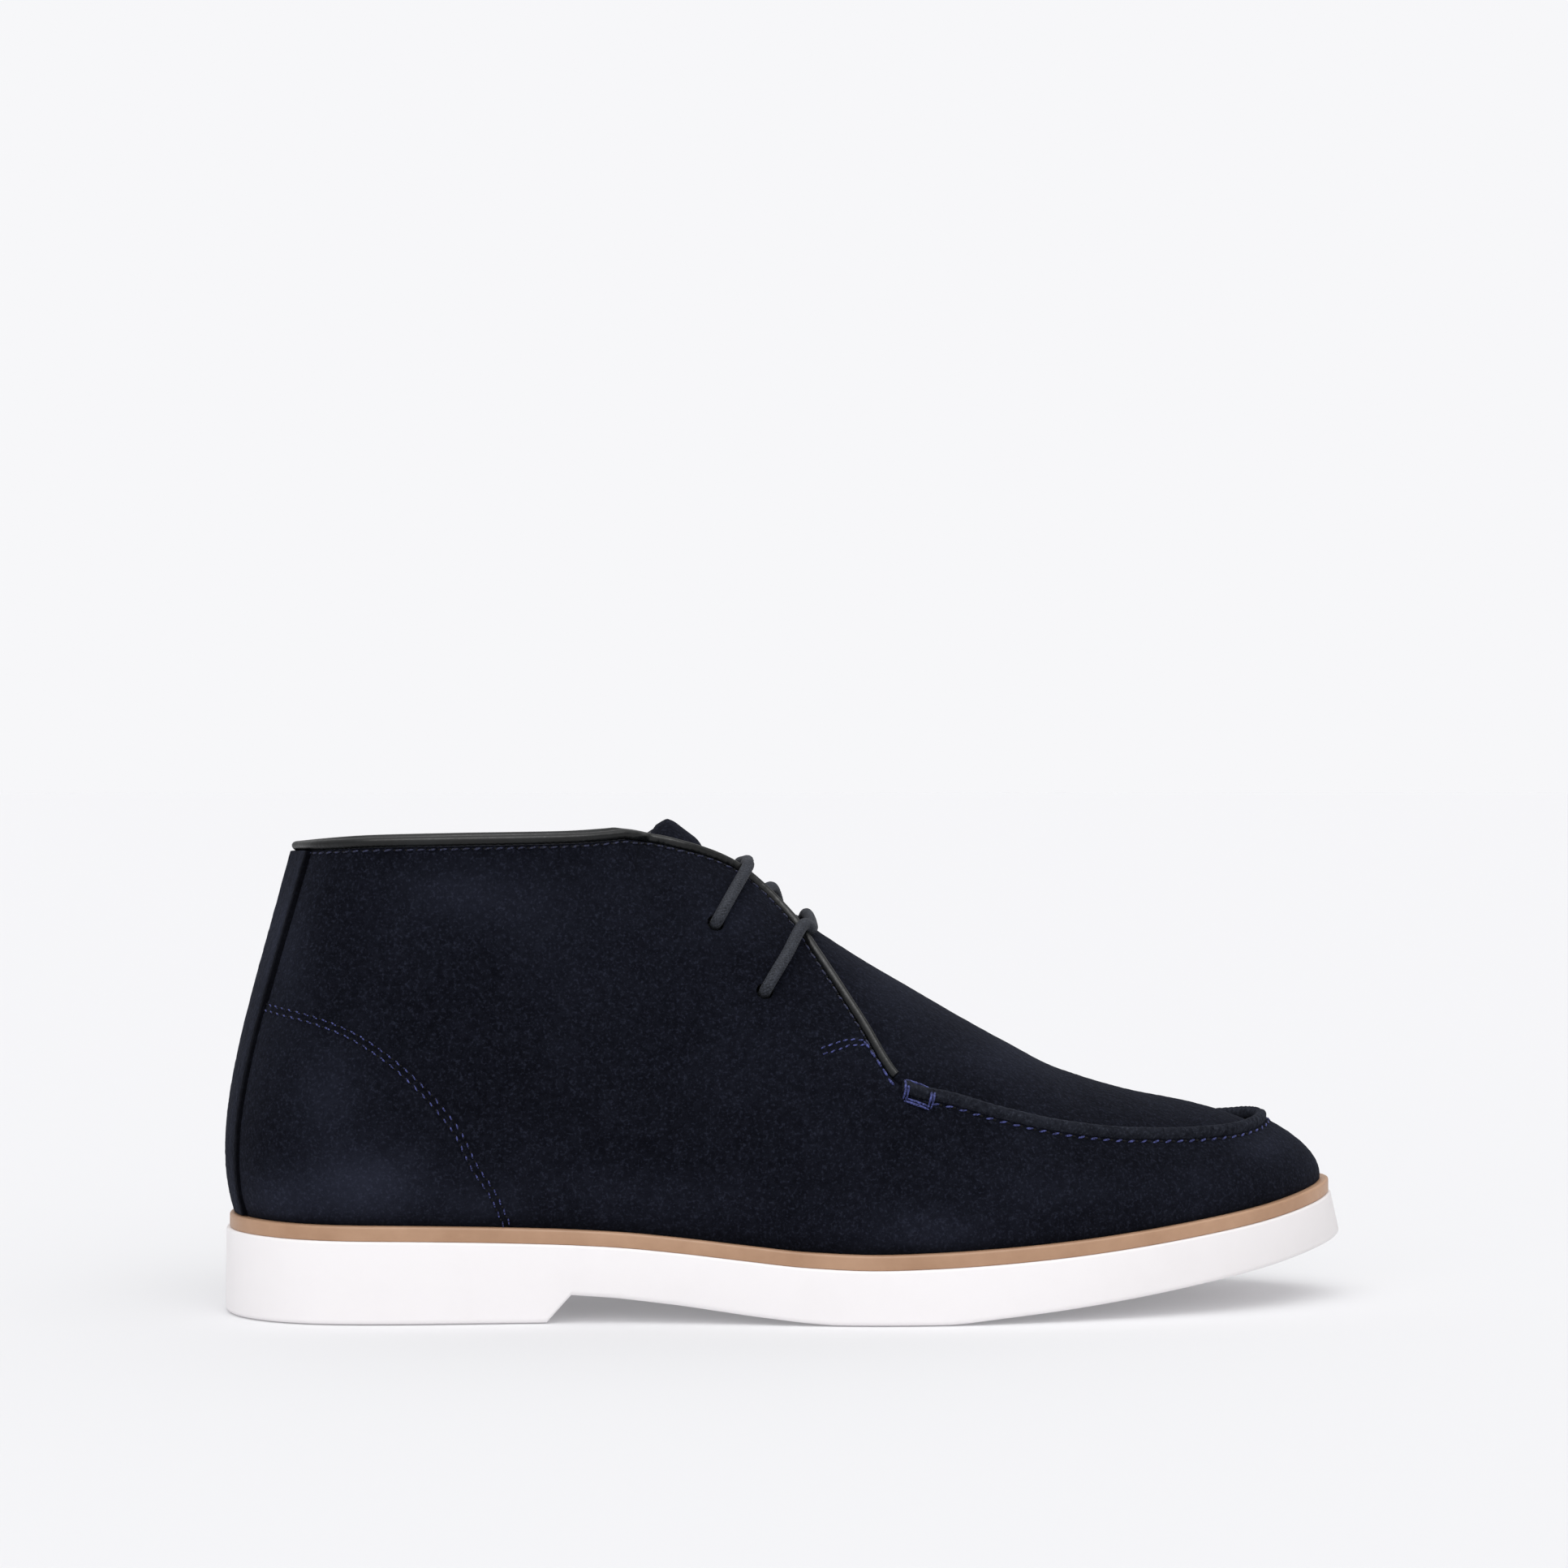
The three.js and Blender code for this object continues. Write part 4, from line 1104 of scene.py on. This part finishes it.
# %% Heel strip
STRIP_FROM, STRIP, STRIP_UP = 63 / FRAME_STATIONS, 1.3, 90
across = np.linspace(STRIP_FROM, 2 - STRIP_FROM, 61)
strip_side = np.where(across > 1, INNER, OUTER)
strip_at = np.where(across > 1, 2 - across, across)
from_middle = np.abs(across - 1) / (1 - STRIP_FROM)
round_off = np.sqrt(np.clip(1 - np.clip((from_middle - 0.93) / 0.07, 0, 1)**2, 0, 1))
heights = np.linspace(0.008, 0.998, STRIP_UP + 1)
plain = skin(strip_side[:, None], strip_at[:, None], heights[None])
level = (STRIP + ruffle(plain, NAP)) * round_off[:, None] + 0.02
outer_face = shell(strip_side[:, None], strip_at[:, None], heights[None], level)
sunk = np.full(level.shape, -0.25)
inner_face = shell(strip_side[:, None], strip_at[:, None], heights[None], sunk)
loops = np.concatenate([outer_face, inner_face[:, ::-1]], 1)
edge_dark = np.clip((from_middle - 0.86) / 0.06, 0, 1)[:, None]
painted_shade_and_dark_edge = np.repeat(edge_dark, loops.shape[1], 1)
pale = np.concatenate([0.1 * np.exp(-((from_middle[:, None] - 0.72) / 0.12)**2)
                       + soft_spots(PATCHES, plain, "pale")] * 2, 1)
heel_strip = finished("heel_strip_suede", loops.reshape(-1, 3), sheet_faces(*loops.shape[:2]),
                      [navy_suede], None, {"pale": pale, "painted_shade_and_dark_edge": painted_shade_and_dark_edge * 0.8})
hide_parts("heel_strip")

# %% [markdown]
# ## Sole, welt and insole
# Each is a stack of rings round the outline, so that its top and bottom edges can be rounded, closed
# across from side to side. The stations in the middle of the boot lie at the same x on both sides,
# which keeps the front of the heel block straight and crisp.


# %% Rings of the bottom
BREAST_TOP, BREAST_FOOT = 89.3, 83.0  # x of the heel block's sloping front
END_STEPS = 34


def at_from_x(side, x):
    """Share along the outline at which it has a given x."""
    zero = np.zeros(np.shape(x))
    return halved(zero, zero + 1, lambda at: footprint(side, at, zero)[..., 0] > x)


def bottom_stations():
    """The same number of stations down each side, dense at both ends."""
    middle_x = np.concatenate([
        np.linspace(276, 160, 46)[:-1], np.linspace(160, BREAST_TOP, 30)[:-1],
        np.linspace(BREAST_TOP, BREAST_FOOT, 6)[:-1], np.linspace(BREAST_FOOT, 20, 26)])
    runs = {}
    for side in (OUTER, INNER):
        middle = at_from_x(side, middle_x)
        toe = middle[0] * np.linspace(0, 1, END_STEPS)[:-1]
        heel = 1 - (1 - middle[-1]) * np.linspace(1, 0, END_STEPS)[1:]
        runs[side] = np.concatenate([toe, middle, heel])
    return runs


STATIONS = bottom_stations()


def stacked(name, rings, materials):
    """rings: an inset along the outline and a height over x each, from one end to the other."""
    outer_at, inner_at = STATIONS[OUTER], STATIONS[INNER]
    count = len(outer_at)
    side = np.concatenate([np.full(count, OUTER), np.full(count - 2, INNER)])
    at = np.concatenate([outer_at, inner_at[-2:0:-1]])
    loops = []
    for inset, height in rings:
        plan = footprint(side, at, inset(at))
        loops.append(np.concatenate([plan, height(plan[:, 0])[:, None]], 1))
    loops = np.array(loops)
    rows, columns = loops.shape[:2]
    faces = grid_faces(rows, columns, wrap_columns=True).tolist()
    for first, turned in ((0, False), ((rows - 1) * columns, True)):
        for k in range(count - 1):
            across = (k, k + 1, (columns - k - 1) % columns, (columns - k) % columns)
            strip = [first + corner for corner in dict.fromkeys(across)]
            faces.append(strip[::-1] if turned else strip)
    return finished(name, loops.reshape(-1, 3), faces, materials, sharp=32)


def rounded_wall(low, high, inset_low, inset_high, round_low, round_high):
    """Rings up a wall with round edges, from a flat underside to a flat top."""
    steps, rim = 5, 2.5  # steps round an edge, width of the first flat ring
    rings = [(lambda at: inset_low(at) + round_low + rim, low)]
    for k in range(steps + 1):
        turn = math.pi / 2 * k / steps
        rings.append((lambda at, t=turn: inset_low(at) + round_low * (1 - math.sin(t)),
                      lambda x, t=turn: low(x) + round_low * (1 - math.cos(t))))
    for k in range(steps + 1):
        turn = math.pi / 2 * k / steps
        rings.append((lambda at, t=turn: inset_high(at) + round_high * (1 - math.cos(t)),
                      lambda x, t=turn: high(x) - round_high * (1 - math.sin(t))))
    rings.append((lambda at: inset_high(at) + round_high + rim, high))
    return rings


def plus(function, amount):
    """The same function with an amount added."""
    return lambda value: function(value) + amount


def no_inset(at):
    return 0 * at


sole = stacked("sole_rubber", rounded_wall(
    sole_under, plus(seat_at, 0.12), no_inset, inset_of["sole"], 1.4, 0.7), [rubber_finish])
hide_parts("outsole")
welt = stacked("welt_strip", rounded_wall(
    plus(seat_at, 0.16), plus(welt_top, 0.1), inset_of["welt"], inset_of["welt"], 0.3, 0.8),
    [welt_finish])
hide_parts("welt")
inner_inset = plus(inset_of["upper"], WALL + 0.2)
insole = stacked("insole_board", rounded_wall(
    plus(welt_top, 0.2), plus(welt_top, GAP + INSOLE), inner_inset, inner_inset, 0.3, 0.8),
    [lining_finish])
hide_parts("insole")

# %% [markdown]
# ## Stitches
# A seam is a line on the suede. A small node tree walks along it at the stitch's pitch and lays one
# short thread at each step, turned along the seam and a little askew, as a lock stitch is. The same
# tree, with a dark finish and a half-step start, lays dots of painted shade where the needle holes
# are, between the stitches.


# %% The stitch tree
def stitch_tree():
    tree = bpy.data.node_groups.new("stitches_along_a_seam", "GeometryNodeTree")
    face = tree.interface
    face.new_socket(name="Seam", in_out="INPUT", socket_type="NodeSocketGeometry")
    sizes = {"Pitch": 0.0029, "Length": 0.002, "Thickness": 0.0006, "Lean": 0.0, "Start": 0.0}
    for name, size in sizes.items():
        face.new_socket(name=name, in_out="INPUT",
                        socket_type="NodeSocketFloat").default_value = size
    face.new_socket(name="Finish", in_out="INPUT", socket_type="NodeSocketMaterial")
    face.new_socket(name="Stitches", in_out="OUTPUT", socket_type="NodeSocketGeometry")

    def node(kind, links=(), **settings):
        made = tree.nodes.new(kind)
        for key, value in settings.items():
            setattr(made, key, value)
        for key, value in dict(links).items():
            if isinstance(value, bpy.types.NodeSocket):
                tree.links.new(value, made.inputs[key])
            else:
                made.inputs[key].default_value = value
        return made

    given = node("NodeGroupInput").outputs
    line = node("GeometryNodeMeshToCurve", {"Mesh": given["Seam"]}).outputs[0]
    trim = node("GeometryNodeTrimCurve", {0: line}, mode="LENGTH")
    tree.links.new(given["Start"], [s for s in trim.inputs if s.name == "Start" and s.enabled][0])
    [s for s in trim.inputs if s.name == "End" and s.enabled][0].default_value = 10
    steps = node("GeometryNodeResampleCurve", {"Curve": trim.outputs[0], "Length": given["Pitch"]},
                 mode="LENGTH").outputs[0]
    out = node("GeometryNodeInputNamedAttribute", {"Name": "out"}, data_type="FLOAT_VECTOR")
    tangent = node("GeometryNodeInputTangent").outputs[0]
    turn = node("FunctionNodeAxesToRotation", {0: tangent, 1: out.outputs[0]},
                primary_axis="X", secondary_axis="Z").outputs[0]
    chance = node("FunctionNodeRandomValue", {"Seed": 7}, data_type="FLOAT")
    lows = [s for s in chance.inputs if s.name == "Min" and s.enabled][0]
    highs = [s for s in chance.inputs if s.name == "Max" and s.enabled][0]
    lows.default_value, highs.default_value = -0.09, 0.09
    value = [s for s in chance.outputs if s.enabled][0]
    lean = node("ShaderNodeMath", {0: given["Lean"], 1: value}, operation="ADD").outputs[0]
    askew = node("FunctionNodeAxisAngleToRotation", {"Axis": (0, 0, 1), "Angle": lean}).outputs[0]
    turned = node("FunctionNodeRotateRotation", {0: turn, 1: askew}, rotation_space="LOCAL")
    thread = node("GeometryNodeMeshUVSphere", {"Segments": 8, "Rings": 6, "Radius": 0.5})
    size = node("ShaderNodeCombineXYZ", {0: given["Length"], 1: given["Thickness"],
                                         2: given["Thickness"]}).outputs[0]
    laid = node("GeometryNodeInstanceOnPoints", {
        "Points": steps, "Instance": thread.outputs[0], "Rotation": turned.outputs[0],
        "Scale": size}).outputs[0]
    real = node("GeometryNodeRealizeInstances", {0: laid}).outputs[0]
    smooth = node("GeometryNodeSetShadeSmooth", {0: real}).outputs[0]
    painted = node("GeometryNodeSetMaterial", {"Geometry": smooth,
                                               "Material": given["Finish"]}).outputs[0]
    node("NodeGroupOutput", {0: painted})
    return tree


STITCH_TREE = stitch_tree()
STITCH_INPUT = {item.name: item.identifier for item in STITCH_TREE.interface.items_tree
                if item.in_out == "INPUT"}


def stitched(name, runs, finish, **sizes):
    """Stitches along seams. runs holds (points, outward directions) in mm; sizes are in mm."""
    points, outs, edges = [], [], []
    for line, normals in runs:
        first = len(points)
        points += list(line)
        outs += list(normals)
        edges += [(first + k, first + k + 1) for k in range(len(line) - 1)]
    mesh = bpy.data.meshes.new(name + "_seam")
    mesh.from_pydata(placed(points).tolist(), edges, [])
    layer = mesh.attributes.new("out", "FLOAT_VECTOR", "POINT")
    layer.data.foreach_set("vector", np.asarray(outs, np.float32).ravel())
    seam = bpy.data.objects.new(name + "_seam", mesh)
    bpy.context.scene.collection.objects.link(seam)
    modifier = seam.modifiers.new("stitches", "NODES")
    modifier.node_group = STITCH_TREE
    for key, size in sizes.items():
        scaled = size if key == "Lean" else size * MM
        modifier[STITCH_INPUT[key]] = float(scaled)
    modifier[STITCH_INPUT["Finish"]] = finish
    depsgraph = bpy.context.evaluated_depsgraph_get()
    depsgraph.update()
    mesh = bpy.data.meshes.new_from_object(seam.evaluated_get(depsgraph))
    bpy.data.objects.remove(seam)
    mesh.name = name
    mesh.shade_smooth()
    piece = bpy.data.objects.new(name, mesh)
    bpy.context.scene.collection.objects.link(piece)
    print(f"{name}: {len(mesh.polygons)} faces")
    return piece


def seam_on_wall(side, x, z, lift):
    """A run along a smooth line given from the side by x and z."""
    knots = np.concatenate([[0], np.cumsum(np.hypot(np.diff(x), np.diff(z)))])
    t = np.linspace(0, knots[-1], max(int(knots[-1] / 0.8), 4))
    xs, zs = (smooth_curve(knots, np.asarray(row, float))(t) for row in (x, z))
    at, up = place_on_wall(side, xs, zs)
    base = skin(side, at, up)
    return shell(side, at, up, lift + relief(base)), outwards(side, at, up)


def seam_by_edge(side, at, below, lift):
    """A run that keeps a distance below the cut edge."""
    up = cut_height(side, at)
    up = step_up(side, at, up, -below)
    owner = np.where((at == 0) | (at == 1), OUTER, side)
    base = skin(owner, at, up)
    return shell(side, at, up, lift + relief(base)), outwards(owner, at, up)


print("stitch tree:", len(STITCH_TREE.nodes), "nodes")

# %% [markdown]
# ### Where the seams run
# Under the binding a row follows the collar and the flaps. Two close rows follow the end of the heel
# stiffener. Under the raised seam a row shows where its thread comes out. The corner of the throat,
# which is pulled hardest, has two short rows and a box of doubled thicker thread.

# %% Seams
side, at = along_edge(29.3 / FRAME_STATIONS, 1, 420)
collar_run = seam_by_edge(side, at, 0.75, 0.12)
collar_stitches = stitched("collar_stitches", [collar_run], dark_thread_finish,
                           Pitch=STITCH_PITCH, Length=2.3, Thickness=0.6, Lean=0.15)
# Dots of painted shade at the needle holes.
collar_hole_shade = stitched("collar_stitch_hole_shade", [collar_run], hole_shade_finish, Pitch=STITCH_PITCH,
                        Length=0.8, Thickness=0.6, Start=STITCH_PITCH / 2)

ROW_GAP = 1.65
x, z = COUNTER["x"], COUNTER["z"]
tangent = np.stack([np.gradient(x), np.gradient(z)], 1)
tangent /= np.linalg.norm(tangent, axis=1, keepdims=True)
counter_runs, counter_late = (
    [seam_on_wall(seam_side, x + tangent[:, 1] * aside, z - tangent[:, 0] * aside, 0.1)
     for seam_side in (OUTER, INNER)] for aside in (-ROW_GAP / 2, ROW_GAP / 2))
COUNTER_PITCH = 2.75
counter_stitches = stitched("counter_stitches_front", counter_runs, thread_finish,
                            Pitch=COUNTER_PITCH, Length=1.75, Thickness=0.45, Lean=-0.2)
counter_second = stitched("counter_stitches_back", counter_late, thread_finish,
                          Pitch=COUNTER_PITCH, Length=1.75, Thickness=0.45, Lean=-0.2,
                          Start=COUNTER_PITCH / 2)
# Dots of painted shade at the needle holes.
counter_hole_shade = stitched("counter_stitch_hole_shade", counter_late + counter_runs, hole_shade_finish,
                         Pitch=COUNTER_PITCH / 2, Length=0.65, Thickness=0.5,
                         Start=COUNTER_PITCH / 4)

side, at = along_edge(27.2 / FRAME_STATIONS, 0, 300)
ridge_run = seam_by_edge(side, at, 2.0, 0.15)
RIDGE_PITCH = 3.7
ridge_stitches = stitched("ridge_stitches", [ridge_run], thread_finish, Pitch=RIDGE_PITCH,
                          Length=2.4, Thickness=0.6, Lean=0.3)
# Dots of painted shade at the needle holes.
ridge_hole_shade = stitched("ridge_stitch_hole_shade", [ridge_run], hole_shade_finish, Pitch=RIDGE_PITCH,
                       Length=1.1, Thickness=0.65, Start=RIDGE_PITCH / 2)

corner_rows = [seam_on_wall(seam_side, *line, 0.1) for seam_side in (OUTER, INNER) for line in (
    ((154.7, 158.0, 162.0, 164.8), (70.5, 71.5, 72.4, 72.2)),
    ((155.2, 158.8, 161.7, 165.2), (69.0, 69.9, 70.9, 71.0)))]
corner_stitches = stitched("corner_stitches", corner_rows, thread_finish, Pitch=2.0, Length=1.5,
                           Thickness=0.5, Lean=0.2)
facing_rows = [seam_on_wall(seam_side, (166.2, 169.2, 172.0), (71.0, 66.3, 61.6), 0.15)
               for seam_side in (OUTER, INNER)]
facing_stitches = stitched("facing_stitches", facing_rows, thread_finish, Pitch=2.7, Length=2.5,
                           Thickness=0.75, Lean=0.05)

# %% The box of doubled thread at the corner of the throat
def tack(name, box, spread, thickness):
    """A box of doubled threads on each side of the boot, clasping the raised seam."""
    points, faces = [], []
    sides, steps = 10, 12
    for tack_side in (OUTER, INNER):
        corners = [on_wall(tack_side, x, z, depth) for x, z, depth in box]
        for first, second, arch in ((0, 1, 0.3), (1, 2, 2.9), (2, 3, 0.3), (3, 0, 2.7)):
            a, b = corners[first], corners[second]
            t = np.linspace(0, 1, steps + 1)[:, None]
            place_at, place_up = place_on_wall(tack_side, *((a + b) / 2)[[0, 2]])
            normal = outwards(tack_side, place_at, place_up)
            beside = np.cross(normal, b - a)
            beside /= np.linalg.norm(beside)
            for offset in (-spread, spread):
                line = a + (b - a) * t + normal * arch * np.sin(np.pi * t)**0.6 + beside * offset
                _, u, v = frames_along(line)
                size = thickness / 2 * np.clip(np.sin(np.pi * (0.04 + 0.92 * t)), 0, 1)**0.35
                angle = np.linspace(0, 2 * np.pi, sides, endpoint=False)
                twist = 1 + 0.1 * np.sin(2 * (angle[None] + 14 * t))
                tube = line[:, None] + (size * twist)[..., None] * (
                    np.cos(angle)[None, :, None] * u[:, None]
                    + np.sin(angle)[None, :, None] * v[:, None])
                first_id = len(points)
                points.extend(tube.reshape(-1, 3))
                faces += [[first_id + k for k in face] for face in tube_faces(steps + 1, sides)]
    made = finished(name, np.array(points), faces, [thread_finish], sharp=80)
    return made


box_tack = tack("box_tack", ((176.2, 62.3, -1.1), (182.8, 59.8, -1.1), (181.6, 54.9, 0.2),
                             (175.2, 57.2, 0.2)), 0.4, 0.66)

# %% [markdown]
# ## Floor and light
# The floor is plain and almost white, and the sky is an even soft light, so the only shadow is the
# soft one under the boot. A wide soft light from above and in front gives the suede its form, and a
# narrow one, seen only in reflections, draws the bright line along the bound collar.

# %% Floor and light
FLOOR_REACH = 60.0
floor_mesh = bpy.data.meshes.new("floor")
floor_mesh.from_pydata([(-FLOOR_REACH, -FLOOR_REACH, -0.0002), (FLOOR_REACH, -FLOOR_REACH, -0.0002),
                        (FLOOR_REACH, FLOOR_REACH, -0.0002), (-FLOOR_REACH, FLOOR_REACH, -0.0002)],
                       [], [(0, 1, 2, 3)])
floor = bpy.data.objects.new("floor", floor_mesh)
bpy.context.scene.collection.objects.link(floor)
floor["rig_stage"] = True
floor_recipe = Recipe("floor_white")
floor_mesh.materials.append(floor_recipe.surface(
    Base_Color=(0.706, 0.706, 0.719, 1), Roughness=1.0, Specular_IOR_Level=0.0,
    Emission_Color=(1.0, 1.0, 1.018, 1), Emission_Strength=0.13))

world = bpy.data.worlds.new("studio")
bpy.context.scene.world = world
world.use_nodes = True
sky = world.node_tree
SKY_LIGHT, SKY_SEEN = 0.62, (0.930, 0.930, 0.948)
plain_sky = sky.nodes["Background"]
plain_sky.inputs[0].default_value = (1, 1, 1.01, 1)
plain_sky.inputs[1].default_value = SKY_LIGHT
seen_sky = sky.nodes.new("ShaderNodeBackground")
seen_sky.inputs[0].default_value = (*SKY_SEEN, 1)
ray = sky.nodes.new("ShaderNodeLightPath")
chooser = sky.nodes.new("ShaderNodeMixShader")
sky.links.new(ray.outputs["Is Camera Ray"], chooser.inputs[0])
sky.links.new(plain_sky.outputs[0], chooser.inputs[1])
sky.links.new(seen_sky.outputs[0], chooser.inputs[2])
sky.links.new(chooser.outputs[0], sky.nodes["World Output"].inputs[0])


def sun(name, strength, spread, tilt, turn):
    """Even light from one direction: tilt from straight down, turn about the vertical."""
    data = bpy.data.lights.new(name, "SUN")
    data.energy, data.angle = strength, math.radians(spread)
    light = bpy.data.objects.new(name, data)
    light.rotation_euler = (math.radians(tilt), 0, math.radians(turn))
    bpy.context.scene.collection.objects.link(light)
    return light


top_light = sun("top_light", 1.25, 70, 12, 10)
front_light = sun("front_light", 0.75, 80, 62, -8)
gloss_data = bpy.data.lights.new("gloss_light", "AREA")
gloss_data.shape, gloss_data.size, gloss_data.size_y = "RECTANGLE", 0.9, 0.12
gloss_data.energy = 4.0
gloss_light = bpy.data.objects.new("gloss_light", gloss_data)
gloss_light.location = (0.0, -0.35, 0.75)
gloss_light.rotation_euler = (math.radians(25), 0, 0)
gloss_light.visible_diffuse = False
gloss_light.visible_camera = False
bpy.context.scene.collection.objects.link(gloss_light)

# %% Everything rides on the one body
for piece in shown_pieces():
    if "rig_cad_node" not in piece:
        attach(piece, "root")
